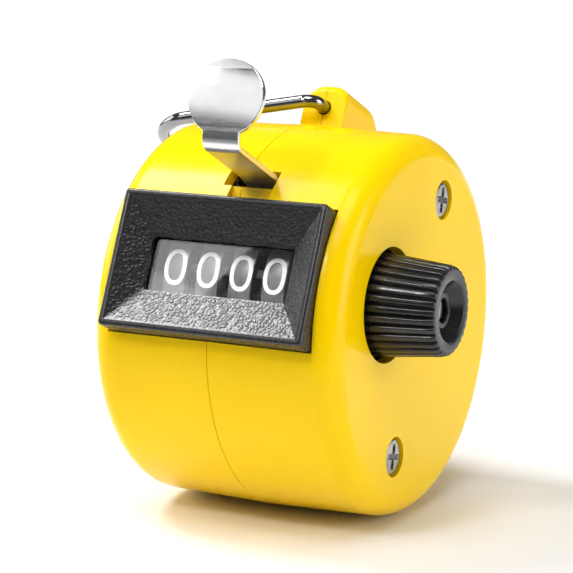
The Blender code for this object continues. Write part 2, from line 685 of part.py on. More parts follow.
def lever_path():
    """Centre line of the lever in (y, z), from the top of the pad down to its hook under the hub."""
    up = math.dist(PAD_CENTRE, LEVER_BEND)
    rise = ((PAD_CENTRE[0] - LEVER_BEND[0]) / up, (PAD_CENTRE[1] - LEVER_BEND[1]) / up)
    run = math.dist(LEVER_SLOT_POINT, LEVER_BEND)
    inward = ((LEVER_SLOT_POINT[0] - LEVER_BEND[0]) / run, (LEVER_SLOT_POINT[1] - LEVER_BEND[1]) / run)
    path = []
    widths = []
    steps = 14
    last_angle = math.pi - math.asin(LEVER_HALF_WIDTH / PAD_HALF_WIDTH)
    first_angle = math.radians(4.0)
    for k in range(steps + 1):
        angle = first_angle + (last_angle - first_angle) * k / steps
        s = PAD_HALF_HEIGHT * math.cos(angle)
        path.append((PAD_CENTRE[0] + rise[0] * s, PAD_CENTRE[1] + rise[1] * s))
        widths.append(PAD_HALF_WIDTH * math.sin(angle))
    for k in range(5):
        t = k / 4
        leg = LEVER_BEND_LEG
        weights = ((1 - t) ** 2, 2 * t * (1 - t), t ** 2)
        ends = [[LEVER_BEND[i] + way[i] * leg for i in range(2)] for way in (rise, inward)]
        corner = (ends[0], LEVER_BEND, ends[1])
        path.append(tuple(sum(w * p[i] for w, p in zip(weights, corner)) for i in range(2)))
        widths.append(LEVER_HALF_WIDTH)
    path.append(LEVER_SLOT_POINT)
    hook = arc(LEVER_PIVOT, HUB_RADIUS + FIT_GAP + LEVER_THICKNESS / 2, -135.0, -10.0, 6)
    path += hook
    widths += [LEVER_HALF_WIDTH] * (1 + len(hook))
    return path, widths


def make_lever(axis, chrome, steel):
    path, widths = lever_path()
    local = [(y - LEVER_PIVOT[0], z - LEVER_PIVOT[1]) for y, z in path]
    add_object("thumb_lever", strip_along(local, widths, LEVER_THICKNESS, LEVER_X), axis, chrome)

    hub = add_object("lever_hub", tube(HUB_RADIUS, HUB_BORE, *HUB_X, 16), axis, steel)
    pin = (PAWL_PIN[0] - LEVER_PIVOT[0], PAWL_PIN[1] - LEVER_PIVOT[1])
    half = 1.2 * MM
    corner = 0.8 * MM
    low = pin[1] - half
    corners = [(-half, -corner), (half, -corner), (pin[0] + half, low), (pin[0] - half, low)]
    arm = rounded_outline(corners, corner, 2)
    combine(hub, add_tool("lever_arm", prism(arm, *ARM_X), axis), "UNION")
    bm = disc(PAWL_PIN_RADIUS + 0.2 * MM, ARM_X[0] - MM, ARM_X[1] + MM, 12, pin)
    disc(HUB_BORE, ARM_X[0] - MM, ARM_X[1] + MM, 16, (0.0, 0.0), bm)
    combine(hub, add_tool("lever_arm_holes", bm, axis), "DIFFERENCE")
    pawl_pin = disc(PAWL_PIN_RADIUS, PAWL_X[0] - 0.1 * MM, ARM_X[1], 12)
    add_object("pawl_pin", pawl_pin, axis, steel, location=(0.0, *pin))
    leaf = [(0.5 * MM, -1.75 * MM), (1.5 * MM, -4.4 * MM), (pin[0] + 1.9 * MM, pin[1] + 2.2 * MM)]
    middle = (PAWL_X[0] + PAWL_X[1]) / 2
    spring = strip_along(leaf, PAWL_LEAF_HALF_WIDTH, PAWL_LEAF_THICKNESS, middle)
    add_object("pawl_spring", spring, axis, steel, smooth=False)


def make_pawl(axis, brass):
    outline = arc((0.0, 0.0), PAWL_HEEL_RADIUS, 90.0, 270.0, 6)
    outline += [(PAWL_LENGTH - 1.6 * MM, 0.2 * MM), (PAWL_LENGTH, PAWL_TIP_LOW), (PAWL_LENGTH, PAWL_TIP_HIGH)]
    pawl = add_object("drive_pawl", prism(outline, *PAWL_X), axis, brass, smooth=False)
    hole = disc(PAWL_PIN_RADIUS + 0.2 * MM, PAWL_X[0] - MM, PAWL_X[1] + MM, 12)
    combine(pawl, add_tool("drive_pawl_hole", hole, axis), "DIFFERENCE")


# ---- finger ring ----

def ring_path():
    """Centre line of the wire loop in its own plane: q runs away from the lug, s along the hinge axis."""
    near = RING_NEAR_BEND
    far = RING_FAR_BEND
    side_s = RING_HALF_WIDTH
    far_centre = RING_REACH - RING_FAR_RADIUS
    corner_s = side_s - far
    corner_q = far_centre + math.sqrt((RING_FAR_RADIUS - far) ** 2 - corner_s ** 2)
    meet = math.degrees(math.atan2(corner_s, corner_q - far_centre))
    half = [(0.0, side_s - near)]
    half += arc((near, side_s - near), near, 180.0, 90.0, 4)[1:]
    half += [(corner_q * share, side_s) for share in (0.3, 0.55, 0.8)]
    half += arc((corner_q, corner_s), far, 90.0, meet, 6)
    half += arc((far_centre, 0.0), RING_FAR_RADIUS, meet, 0.0, 4)[1:]
    other = [(q, -s) for q, s in half[-2::-1]]
    return [(0.0, 0.0)] + half + other


def make_ring(axis, chrome):
    places = []
    for q, s in ring_path():
        places.append((-q * math.cos(RING_DROOP), s, -q * math.sin(RING_DROOP)))
    add_wire("finger_ring", places, RING_WIRE_RADIUS, axis, chrome, closed=True)


def main():
    clear_scene()
    yellow = make_material("yellow_plastic", (0.95, 0.60, 0.0), 0.22)
    black = make_material("black_plastic", (0.02, 0.02, 0.022), 0.35)
    wheel_black = make_material("wheel_plastic", (0.03, 0.03, 0.03), 0.4)
    clear = make_material("clear_plastic", (0.9, 0.92, 0.92), 0.05)
    chrome = make_material("chromed_steel", (0.85, 0.85, 0.86), 0.08, 1.0)
    steel = make_material("turned_steel", (0.6, 0.6, 0.6), 0.3, 1.0)
    sheet = make_material("sheet_steel", (0.55, 0.56, 0.57), 0.4, 1.0)
    brass = make_material("brass", (0.8, 0.6, 0.25), 0.3, 1.0)

    case = make_empty("case_frame", lean=-CASE_LEAN)
    counter_axis = make_empty("counter_axis", case, (0.0, COUNTER_Y, COUNTER_Z))
    pinion_axis = make_empty("pinion_axis", case, (0.0, *PINION_AXIS))
    lever_axis = make_empty("lever_axis", case, (0.0, *LEVER_PIVOT))
    pawl_axis = make_empty("pawl_axis", case, (0.0, *PAWL_PIN))
    ring_axis = make_empty("ring_axis", case, (0.0, RING_CENTRE_Y, RING_AXIS_Z))

    make_case(case, yellow)
    make_screws(case, steel)
    make_window(case, black, clear)
    make_frame(case, sheet, steel)
    make_springs(case, steel)
    make_wheels(counter_axis, wheel_black, brass)
    make_pinions(pinion_axis, wheel_black)
    make_knob(counter_axis, black, steel)
    make_lever(lever_axis, chrome, steel)
    make_pawl(pawl_axis, brass)
    make_ring(ring_axis, chrome)


main()
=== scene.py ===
import math

import bmesh
import bpy
from mathutils import Matrix, Vector, noise


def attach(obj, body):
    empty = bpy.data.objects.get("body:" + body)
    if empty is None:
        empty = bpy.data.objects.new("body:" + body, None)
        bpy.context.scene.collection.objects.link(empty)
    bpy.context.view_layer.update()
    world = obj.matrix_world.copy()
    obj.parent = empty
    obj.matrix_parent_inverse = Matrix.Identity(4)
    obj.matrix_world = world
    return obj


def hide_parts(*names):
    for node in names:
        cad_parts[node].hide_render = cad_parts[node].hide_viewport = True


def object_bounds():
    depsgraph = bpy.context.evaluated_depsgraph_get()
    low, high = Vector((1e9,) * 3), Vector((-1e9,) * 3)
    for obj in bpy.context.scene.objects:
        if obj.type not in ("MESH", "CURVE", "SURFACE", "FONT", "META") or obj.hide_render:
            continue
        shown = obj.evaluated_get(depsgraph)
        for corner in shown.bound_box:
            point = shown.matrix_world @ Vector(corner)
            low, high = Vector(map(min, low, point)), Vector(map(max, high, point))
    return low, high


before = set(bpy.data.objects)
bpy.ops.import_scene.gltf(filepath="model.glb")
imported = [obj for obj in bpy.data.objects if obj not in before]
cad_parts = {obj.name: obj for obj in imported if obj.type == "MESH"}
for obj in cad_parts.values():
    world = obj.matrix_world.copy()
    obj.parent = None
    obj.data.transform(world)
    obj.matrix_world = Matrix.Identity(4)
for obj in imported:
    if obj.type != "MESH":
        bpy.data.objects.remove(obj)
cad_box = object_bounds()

# Everything is modelled in the case's own frame, as the CAD is, and then leaned back with it:
# +X is the drum axis towards the knob, -Y is where the window faces, +Z points at the ring lug.
MM = 0.001
CASE_LEAN = math.radians(25.0)
LEAN = Matrix.Rotation(-CASE_LEAN, 4, "X")

# Cutting tools end out here, well past the case.
PAST = 30.0 * MM

# Drum-shaped case.
DRUM_RADIUS = 23.0 * MM
DRUM_END_RADIUS = 22.7 * MM
DRUM_HALF_WIDTH = 16.0 * MM
DRUM_FILLET = 3.0 * MM
WALL = 1.6 * MM
SEAM_HALF_GAP = 0.03 * MM
SEAM_ROUND = 0.08 * MM
DRUM_SIDES = 192
SCREW_OFFSET = 15.75 * MM
BOSS_RADIUS = 3.3 * MM
KNOB_HOLE_RADIUS = 6.75 * MM
KNOB_HOLE_START = 10.0 * MM
SHELL_EDGE_ROUND = 0.16 * MM
SLOT_X = (-2.3 * MM, 4.1 * MM)
SLOT_Z = (9.9 * MM, 12.3 * MM)
SLOT_END = -17.0 * MM
LANDING_X = (-1.2 * MM, 4.1 * MM)
LANDING_Y = -20.4 * MM
POCKET_FLOOR = -20.4 * MM
POCKET_GAP = 0.1 * MM
LUG_HALF_WIDTH = 2.8 * MM
LUG_Y = (-4.3 * MM, 6.3 * MM)
LUG_TOP = 28.0 * MM
LUG_FOOT = 21.6 * MM
LUG_BACK_FOOT = 21.2 * MM
LUG_FRONT_ROUND = 1.2 * MM
LUG_BACK_ROUND = 2.8 * MM
LUG_SHOULDER = 2.2 * MM
RING_AXIS_Z = 25.0 * MM
RING_HOLE_RADIUS = 0.92 * MM
RING_HOLE_REACH = 9.0 * MM

# Window bezel.
BEZEL_HALF = (13.05 * MM, 8.2 * MM)
BEZEL_CENTRE_Z = -0.4 * MM
BEZEL_FRONT = -24.0 * MM
BEZEL_BACK = -20.7 * MM
BEZEL_RIM = 0.75 * MM
WINDOW_HALF = (9.2 * MM, 3.2 * MM)
WINDOW_FRONT = -22.0 * MM
WINDOW_BACK = -21.5 * MM
WINDOW_CORNER = 0.45 * MM
BEZEL_CORNER = 0.5 * MM
BEZEL_EDGE_ROUND = 0.34 * MM
RIM_STEP = 0.05 * MM
LENS_OVERLAP = 0.8 * MM
LENS_Y = (-21.4 * MM, -20.85 * MM)
SHROUD_WALL = 0.8 * MM
SHROUD_Y = (-20.75 * MM, -19.55 * MM)
GRAIN_SIZE = 0.45 * MM
GRAIN_WARP_SIZE = 1.1 * MM
GRAIN_HEIGHT = 0.05 * MM
GRAIN_ROWS = 56
GRAIN_FADE_ROWS = 4

# Number wheels on the counter shaft.
COUNTER = (-9.5 * MM, 0.2 * MM)
WHEEL_RADIUS = 9.85 * MM
WHEEL_PITCH = 4.3 * MM
WHEEL_STACK_X = -0.45 * MM
BAND_WIDTH = 2.9 * MM
BAND_EDGE = 0.12 * MM
GEAR_WIDTH = 1.0 * MM
GEAR_RADIUS = 9.07 * MM
GEAR_DEPTH = 1.3 * MM
SHAFT_BORE = 1.8 * MM
HUB_RADIUS = 2.6 * MM
HUB_END = 7.9 * MM
DIGIT_HALF = (1.17 * MM, 1.88 * MM)
DIGIT_STROKE = 0.26 * MM
DIGIT_RELIEF = 0.03 * MM
DIGIT_SPACING = 0.12 * MM
DIGIT_DROP = math.radians(-1.2)

# Reset knob.
KNOB_X = (14.8 * MM, 23.8 * MM)
KNOB_ROOT_RADIUS = 6.1 * MM
KNOB_TIP_RADIUS = 5.2 * MM
KNOB_RIBS = 30
KNOB_RIB_DEPTH = 0.48 * MM
KNOB_STATIONS = (17.0 * MM, 19.5 * MM, 22.0 * MM)
KNOB_END_ROUND = 0.6 * MM
KNOB_END_FALL = 0.4 * MM
KNOB_FACE_RADIUS = 4.5 * MM
KNOB_RECESS_RADIUS = 3.55 * MM
KNOB_RECESS_FOOT = 2.85 * MM
KNOB_RECESS_DEPTH = 2.0 * MM
KNOB_BOSS_RADIUS = 2.1 * MM
KNOB_BOSS_DROP = 1.0 * MM
KNOB_BORE = 1.4 * MM
KNOB_WIDE_BORE = 1.9 * MM
KNOB_BORE_STEP = 18.0 * MM
SHAFT_X = (-12.9 * MM, 17.7 * MM, 22.4 * MM)
SHAFT_RADIUS = 1.5 * MM
SHAFT_TIP_RADIUS = 1.2 * MM

# Case screws, whose heads lie in round seats in the right shell.
SCREW_HEAD_RADIUS = 2.25 * MM
SCREW_TOP = 15.8 * MM
SCREW_HEAD_HEIGHT = 1.3 * MM
SCREW_HEAD_CROWN = 0.25 * MM
SCREW_SEAT_DEPTH = 1.6 * MM
SCREW_SEAT_GAP = 0.15 * MM
CROSS_HALF = (1.6 * MM, 0.36 * MM)
CROSS_DEPTH = 0.85 * MM
CROSS_RISE = 0.3 * MM
CROSS_SHARES = (0.45, 1.15)
CROSS_TURN = 12.0

# Lever and ring.
LEVER_X = 1.5 * MM
LEVER_THICKNESS = 0.7 * MM
LEVER_HALF_WIDTH = 2.3 * MM
LEVER_BEND = (-30.08 * MM, 11.77 * MM)
LEVER_SLOT_POINT = (-20.0 * MM, 11.45 * MM)
LEVER_PIVOT = (-15.6 * MM, 12.2 * MM)
LEVER_HOOK_RADIUS = 1.95 * MM
LEVER_BEND_LEG = 1.3 * MM
PAD_CENTRE = (-30.65 * MM, 17.2 * MM)
PAD_HALF_WIDTH = 4.75 * MM
PAD_HALF_HEIGHT = 4.44 * MM
PAD_BOW = 0.08 * MM
PAD_TOP_ANGLE = math.radians(5.0)
LEVER_DULL_Z = (25.5 * MM, 20.5 * MM)
LEVER_EDGE_ROUND = 0.14 * MM
RING_WIRE_RADIUS = 0.8 * MM
RING_CENTRE_Y = 0.4 * MM
RING_HALF_WIDTH = 7.6 * MM
RING_NEAR_BEND = 1.6 * MM
RING_FAR_BEND = 3.5 * MM
RING_FAR_RADIUS = 8.2 * MM
RING_REACH = 23.33 * MM
RING_DROOP = math.radians(11.0)

# The floor is pale round the part, with painted shade from here towards the front, as y: it is darker
# there so that glossy faces reflect dark.
FLOOR_PAINTED_SHADE_Y = (-0.06, -0.12)
FLOOR_GAP = 0.1 * MM

# Places of the key light, and of the card that shows in the window, in metres.
KEY_LIGHT = (-0.394, -0.018, 0.584)
WINDOW_CARD = (-0.3312, -0.3906, 0.3529)
WINDOW_CARD_EDGE = (0.588, 0.261, 0.765)

# The light that shows in the lever's pad fades towards its foot. Each step has the elevation of
# its top in degrees and its radiance.
LIGHT_REACH = 0.6
PAD_CARD_AZIMUTH = -30.0
PAD_CARD_FOOT = 24.7
PAD_CARD_STEPS = ((25.2, 0.04), (25.6, 0.12), (26.0, 0.28), (26.4, 0.52), (26.8, 0.76), (31.7, 0.95))

# Camera: angles in degrees and the place that it looks at.
CAMERA_AZIMUTH = 27.39
CAMERA_ELEVATION = 11.03
CAMERA_DISTANCE = 302.3 * MM
CAMERA_TARGET = (-1.77 * MM, 0.14 * MM, 3.29 * MM)
CAMERA_LENS = 156.73


# ---- materials ----

class Shader:
    """A Principled material, varied mostly by noise in the object's own space."""

    def __init__(self, name, colour, roughness, metallic=0.0):
        self.material = bpy.data.materials.new(name)
        self.material.use_nodes = True
        self.tree = self.material.node_tree
        self.shader = self.tree.nodes["Principled BSDF"]
        self.colour = colour
        self.shader.inputs["Base Color"].default_value = (*colour, 1.0)
        self.shader.inputs["Roughness"].default_value = roughness
        self.shader.inputs["Metallic"].default_value = metallic
        self.place = self.tree.nodes.new("ShaderNodeTexCoord").outputs["Object"]

    def link(self, start, end):
        self.tree.links.new(start, end)

    def noise(self, scale, detail=3.0, stretch=None):
        """Noise with features of about 1/scale metres, squeezed along each axis by stretch."""
        start = self.place
        if stretch:
            mapping = self.tree.nodes.new("ShaderNodeMapping")
            mapping.inputs["Scale"].default_value = stretch
            self.link(start, mapping.inputs["Vector"])
            start = mapping.outputs["Vector"]
        texture = self.tree.nodes.new("ShaderNodeTexNoise")
        texture.inputs["Scale"].default_value = scale
        texture.inputs["Detail"].default_value = detail
        self.link(start, texture.inputs["Vector"])
        return texture.outputs["Fac"]

    def spread(self, value, low, high, start=0.32, end=0.68):
        """Turn a value from start to end into low to high. Noise stays near its middle."""
        node = self.tree.nodes.new("ShaderNodeMapRange")
        node.inputs["From Min"].default_value = start
        node.inputs["From Max"].default_value = end
        node.inputs["To Min"].default_value = low
        node.inputs["To Max"].default_value = high
        self.link(value, node.inputs["Value"])
        return node.outputs["Result"]

    def vary_colour(self, other, value, start=0.32, end=0.68):
        mix = self.tree.nodes.new("ShaderNodeMix")
        mix.data_type = "RGBA"
        mix.inputs["A"].default_value = (*self.colour, 1.0)
        mix.inputs["B"].default_value = (*other, 1.0)
        self.link(self.spread(value, 0.0, 1.0, start, end), mix.inputs["Factor"])
        self.link(mix.outputs["Result"], self.shader.inputs["Base Color"])

    def vary_roughness(self, low, high, value):
        self.link(self.spread(value, low, high), self.shader.inputs["Roughness"])

    def bump(self, distance, value, strength=1.0):
        node = self.tree.nodes.new("ShaderNodeBump")
        node.inputs["Distance"].default_value = distance
        node.inputs["Strength"].default_value = strength
        self.link(value, node.inputs["Height"])
        self.link(node.outputs["Normal"], self.shader.inputs["Normal"])

    def set(self, **values):
        for name, value in values.items():
            self.shader.inputs[name.replace("_", " ")].default_value = value


def moulded_yellow():
    look = Shader("moulded_yellow", (0.98, 0.64, 0.0), 0.2)
    look.vary_colour((0.96, 0.61, 0.0), look.noise(70.0, 2.0))
    look.vary_roughness(0.17, 0.26, look.noise(900.0, 4.0))
    look.bump(0.02 * MM, look.noise(700.0, 2.0), 0.35)
    look.set(Subsurface_Weight=0.12, Subsurface_Scale=0.0012, Subsurface_Radius=(1.0, 0.5, 0.05))
    look.set(Specular_IOR_Level=0.15)
    return look.material


def grained_black():
    look = Shader("grained_black", (0.006, 0.006, 0.007), 0.3)
    look.vary_colour((0.013, 0.013, 0.015), look.noise(2600.0, 3.0))
    look.vary_roughness(0.27, 0.38, look.noise(3500.0, 3.0))
    look.bump(0.01 * MM, look.noise(5200.0, 3.0), 0.35)
    look.set(Specular_IOR_Level=0.8)
    return look.material


def satin_black():
    look = Shader("satin_black", (0.012, 0.012, 0.014), 0.3)
    look.vary_colour((0.02, 0.02, 0.022), look.noise(900.0))
    look.vary_roughness(0.24, 0.36, look.noise(2400.0, 3.0))
    look.bump(0.006 * MM, look.noise(5000.0, 2.0), 0.6)
    return look.material


def knob_black():
    look = Shader("knob_black", (0.007, 0.007, 0.008), 0.25)
    look.vary_colour((0.013, 0.013, 0.014), look.noise(1100.0))
    look.vary_roughness(0.18, 0.28, look.noise(1800.0, 4.0))
    look.bump(0.004 * MM, look.noise(2600.0, 3.0), 0.25)
    return look.material


def wheel_black():
    look = Shader("wheel_black", (0.012, 0.012, 0.013), 0.35)
    look.vary_colour((0.02, 0.02, 0.021), look.noise(1500.0))
    look.vary_roughness(0.3, 0.45, look.noise(900.0))
    look.bump(0.008 * MM, look.noise(1500.0), 0.5)
    return look.material


def wheel_band():
    """The printed band round a wheel, with fine marks that run round it."""
    look = Shader("wheel_band", (0.12, 0.12, 0.12), 0.3)
    look.vary_colour((0.17, 0.17, 0.167), look.noise(900.0, 3.0, (6.0, 1.0, 1.0)))
    look.vary_roughness(0.26, 0.4, look.noise(900.0, 4.0, (6.0, 1.0, 1.0)))
    look.bump(0.008 * MM, look.noise(1500.0, 3.0, (5.0, 1.0, 1.0)), 0.5)
    look.set(Specular_IOR_Level=0.8)
    return look.material


def numeral_white():
    look = Shader("numeral_white", (0.97, 0.97, 0.96), 0.45)
    look.vary_colour((0.92, 0.92, 0.9), look.noise(1800.0))
    look.vary_roughness(0.4, 0.55, look.noise(2500.0))
    look.bump(0.005 * MM, look.noise(6000.0), 0.5)
    return look.material


def clear_lens():
    look = Shader("clear_lens", (0.985, 0.99, 0.99), 0.02)
    look.vary_roughness(0.0, 0.035, look.noise(350.0, 5.0))
    look.set(Transmission_Weight=1.0, IOR=1.6)
    return look.material


def metal(name, colour, other, rough, grain, bump=0.004):
    """Plated or bare metal with fine drawn-out marks."""
    look = Shader(name, colour, rough[0], 1.0)
    look.vary_colour(other, look.noise(500.0, 3.0))
    look.vary_roughness(rough[0], rough[1], look.noise(700.0, 4.0, grain))
    look.bump(bump * MM, look.noise(1600.0, 3.0, grain), 0.5)
    return look.material


def lever_chrome():
    """Polished on the pad, duller where the strip runs down into the case."""
    look = Shader("lever_chrome", (0.84, 0.84, 0.85), 0.13, 1.0)
    look.vary_colour((0.8, 0.8, 0.81), look.noise(500.0))
    split = look.tree.nodes.new("ShaderNodeSeparateXYZ")
    look.link(look.place, split.inputs["Vector"])
    fade = look.spread(split.outputs["Z"], 0.06, 0.42, *LEVER_DULL_Z)
    marks = look.tree.nodes.new("ShaderNodeMath")
    marks.operation = "ADD"
    look.link(fade, marks.inputs[0])
    look.link(look.spread(look.noise(700.0, 4.0, (1.0, 6.0, 6.0)), 0.0, 0.05), marks.inputs[1])
    look.link(marks.outputs["Value"], look.shader.inputs["Roughness"])
    look.bump(0.001 * MM, look.noise(1600.0, 3.0, (1.0, 6.0, 6.0)), 0.15)
    return look.material


def gear_plastic():
    look = Shader("gear_plastic", (0.62, 0.62, 0.6), 0.45)
    look.vary_colour((0.52, 0.52, 0.5), look.noise(900.0))
    look.vary_roughness(0.38, 0.55, look.noise(1500.0))
    look.bump(0.01 * MM, look.noise(2500.0), 0.4)
    return look.material


# ---- mesh helpers ----

def bridge_rings(bm, rings, closed):
    """Faces between neighbouring rings of points. A ring of one point is a tip."""
    faces = []
    pairs = list(zip(rings, rings[1:]))
    if closed:
        pairs.append((rings[-1], rings[0]))
    for first, second in pairs:
        sides = max(len(first), len(second))
        for k in range(sides):
            n = (k + 1) % sides
            corners = [first[k % len(first)], first[n % len(first)]]
            corners += [second[n % len(second)], second[k % len(second)]]
            faces.append(bm.faces.new(list(dict.fromkeys(corners))))
    return faces


def arc(centre, radius, start, end, steps):
    """Points on an arc round a centre in any plane, angles in degrees."""
    points = []
    for k in range(steps + 1):
        angle = math.radians(start + (end - start) * k / steps)
        points.append((centre[0] + radius * math.cos(angle), centre[1] + radius * math.sin(angle)))
    return points


def turned(profile, sides, centre=(0.0, 0.0), wave=None, bm=None):
    """Skin a profile of (x, radius) or (x, radius, groove depth) round the X axis.

    wave gives how deep the groove is at an angle, from 0 to 1.
    """
    bm = bm or bmesh.new()
    rings = []
    for station in profile:
        x, radius = station[:2]
        depth = station[2] if len(station) > 2 else 0.0
        if radius == 0.0:
            rings.append([bm.verts.new((x, *centre))])
            continue
        ring = []
        for k in range(sides):
            angle = 2.0 * math.pi * k / sides
            r = radius - (depth * wave(angle) if depth else 0.0)
            y, z = centre[0] + r * math.cos(angle), centre[1] + r * math.sin(angle)
            ring.append(bm.verts.new((x, y, z)))
        rings.append(ring)
    bridge_rings(bm, rings, closed=len(rings[0]) > 1)
    return bm


def disc(radius, x0, x1, sides, centre=(0.0, 0.0), bm=None):
    return turned([(x0, 0.0), (x0, radius), (x1, radius), (x1, 0.0)], sides, centre, bm=bm)


def box(x, y, z):
    bm = bmesh.new()
    corners = ((y[0], z[0]), (y[1], z[0]), (y[1], z[1]), (y[0], z[1]))
    ends = [[bm.verts.new((end, *corner)) for corner in corners] for end in x]
    bm.faces.new(ends[0])
    bm.faces.new(ends[1])
    bridge_rings(bm, ends, closed=False)
    return bm


def new_object(name, bm, materials=(), smooth=35.0):
    """A leaned object from a bmesh, smooth except at edges sharper than the angle in degrees."""
    bmesh.ops.recalc_face_normals(bm, faces=bm.faces)
    mesh = bpy.data.meshes.new(name)
    bm.to_mesh(mesh)
    bm.free()
    mesh.transform(LEAN)
    mesh.shade_smooth()
    mesh.set_sharp_from_angle(angle=math.radians(smooth))
    for material in materials:
        mesh.materials.append(material)
    item = bpy.data.objects.new(name, mesh)
    bpy.context.scene.collection.objects.link(item)
    return item


def carve(item, tool, operation="DIFFERENCE"):
    modifier = item.modifiers.new(tool.name, "BOOLEAN")
    modifier.operation = operation
    modifier.solver = "EXACT"
    modifier.object = tool


def round_edges(item, width, segments=2, angle=35.0):
    modifier = item.modifiers.new("rounding", "BEVEL")
    modifier.width = width
    modifier.segments = segments
    modifier.limit_method = "ANGLE"
    modifier.angle_limit = math.radians(angle)
    modifier.harden_normals = True
    modifier.use_clamp_overlap = True


def weight_normals(item):
    """Keep flat faces looking flat where they meet small rounded ones."""
    modifier = item.modifiers.new("normals", "WEIGHTED_NORMAL")
    modifier.keep_sharp = True


def bake_modifiers(item, tools=()):
    """Keep the shape that the modifiers give, and drop the tools that made it."""
    bpy.context.view_layer.update()
    graph = bpy.context.evaluated_depsgraph_get()
    mesh = bpy.data.meshes.new_from_object(item.evaluated_get(graph))
    item.modifiers.clear()
    item.data = mesh
    for tool in tools:
        bpy.data.objects.remove(tool, do_unlink=True)


def place(item, body, slot, *nodes):
    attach(item, body)
    if nodes:
        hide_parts(*nodes)


# ---- case ----

def shell_profile(side):
    fillet = (DRUM_HALF_WIDTH - DRUM_FILLET, DRUM_END_RADIUS - DRUM_FILLET)
    seam_centre = (SEAM_HALF_GAP + SEAM_ROUND, DRUM_RADIUS - SEAM_ROUND)
    points = [(DRUM_HALF_WIDTH, 0.0), (DRUM_HALF_WIDTH, fillet[1] * 0.5)]
    points += arc(fillet, DRUM_FILLET, 0.0, 90.0, 14)
    points += arc(seam_centre, SEAM_ROUND, 90.0, 180.0, 4)
    points.append((SEAM_HALF_GAP, DRUM_RADIUS - WALL))
    points += arc(fillet, DRUM_FILLET - WALL, 90.0, 0.0, 4)
    points.append((DRUM_HALF_WIDTH - WALL, 0.0))
    return [(side * x, radius) for x, radius in points]


def lug_crest():
    """(y, z) points along the top of the lug, from its front face to its back face."""
    front_round = (LUG_Y[0] + LUG_FRONT_ROUND, LUG_TOP - LUG_FRONT_ROUND)
    back_round = (LUG_Y[1] - LUG_BACK_ROUND, LUG_TOP - LUG_BACK_ROUND)
    front = arc(front_round, LUG_FRONT_ROUND, 180.0, 90.0, 8)
    return front + arc(back_round, LUG_BACK_ROUND, 90.0, 0.0, 14)


def lug_half(side):
    """One half of the arch-shaped ring lug, lofted from front to back."""
    near = side * SEAM_HALF_GAP
    rings = []
    bm = bmesh.new()
    for y, top in lug_crest():
        share = (y - LUG_Y[0]) / (LUG_Y[1] - LUG_Y[0])
        foot = LUG_FOOT + (LUG_BACK_FOOT - LUG_FOOT) * share
        shoulder = (LUG_HALF_WIDTH - LUG_SHOULDER, top - LUG_SHOULDER)
        points = [(near, foot), (side * LUG_HALF_WIDTH, foot)]
        points += [(side * x, z) for x, z in arc(shoulder, LUG_SHOULDER, 0.0, 90.0, 12)]
        points.append((near, top))
        rings.append([bm.verts.new((x, y, z)) for x, z in points])
    bridge_rings(bm, rings, closed=False)
    bm.faces.new(rings[0])
    bm.faces.new(rings[-1])
    return bm


def shell_cuts(side):
    """The openings of one shell, as tools."""
    low = BEZEL_CENTRE_Z - BEZEL_HALF[1] - POCKET_GAP
    high = BEZEL_CENTRE_Z + BEZEL_HALF[1] + POCKET_GAP
    wide = BEZEL_HALF[0] + POCKET_GAP
    shapes = {
        "bezel_pocket": box((-wide, wide), (-PAST, POCKET_FLOOR), (low, high)),
        "lever_landing": box(LANDING_X, (-PAST, LANDING_Y), (high - MM, SLOT_Z[0] + MM)),
        "lever_slot": box(SLOT_X, (-PAST, SLOT_END), SLOT_Z),
    }
    hole = disc(RING_HOLE_RADIUS, -RING_HOLE_REACH, RING_HOLE_REACH, 32)
    bmesh.ops.rotate(hole, verts=hole.verts, matrix=Matrix.Rotation(math.radians(90.0), 3, "Z"))
    bmesh.ops.translate(hole, verts=hole.verts, vec=(0.0, 0.0, RING_AXIS_Z))
    shapes["ring_hole"] = hole
    if side > 0:
        shapes["knob_hole"] = disc(KNOB_HOLE_RADIUS, KNOB_HOLE_START, PAST, 96, COUNTER)
        seats = bmesh.new()
        for z in (SCREW_OFFSET, -SCREW_OFFSET):
            floor = SCREW_TOP - SCREW_SEAT_DEPTH
            disc(SCREW_HEAD_RADIUS + SCREW_SEAT_GAP, floor, PAST, 48, (0.0, z), seats)
        shapes["screw_seats"] = seats
    return [new_object(name, bm) for name, bm in shapes.items()]


def make_case(yellow):
    for side, name in ((-1, "left_case"), (1, "right_case")):
        shell = new_object(name, turned(shell_profile(side), DRUM_SIDES), (yellow,))
        additions = [new_object("lug_half", lug_half(side))]
        if side > 0:
            bosses = bmesh.new()
            for z in (SCREW_OFFSET, -SCREW_OFFSET):
                disc(BOSS_RADIUS, MM, DRUM_HALF_WIDTH - WALL / 2, 32, (0.0, z), bosses)
            additions.append(new_object("screw_bosses", bosses))
        for tool in additions:
            carve(shell, tool, "UNION")
        cuts = shell_cuts(side)
        for tool in cuts:
            carve(shell, tool)
        bake_modifiers(shell, additions + cuts)
        shell.data.shade_smooth()
        shell.data.set_sharp_from_angle(angle=math.radians(28.0))
        round_edges(shell, SHELL_EDGE_ROUND, 2, 40.0)
        weight_normals(shell)
        place(shell, "case", "case_plastic", name + "_shell")


def cross_bar(turn, z):
    """One bar of a screw's cross recess, narrower towards its floor."""
    long, short = CROSS_HALF
    bm = bmesh.new()
    rings = []
    for x, share in zip((SCREW_TOP - CROSS_DEPTH, SCREW_TOP + CROSS_RISE), CROSS_SHARES):
        corners = ((-long, -short), (long, -short), (long, short), (-long, short))
        width = 0.6 + 0.4 * share
        rings.append([bm.verts.new((x, y * share, w * width)) for y, w in corners])
    bridge_rings(bm, rings, closed=False)
    bm.faces.new(rings[0])
    bm.faces.new(rings[1])
    bmesh.ops.rotate(bm, verts=bm.verts, matrix=Matrix.Rotation(math.radians(turn), 3, "X"))
    bmesh.ops.translate(bm, verts=bm.verts, vec=(0.0, 0.0, z))
    return bm


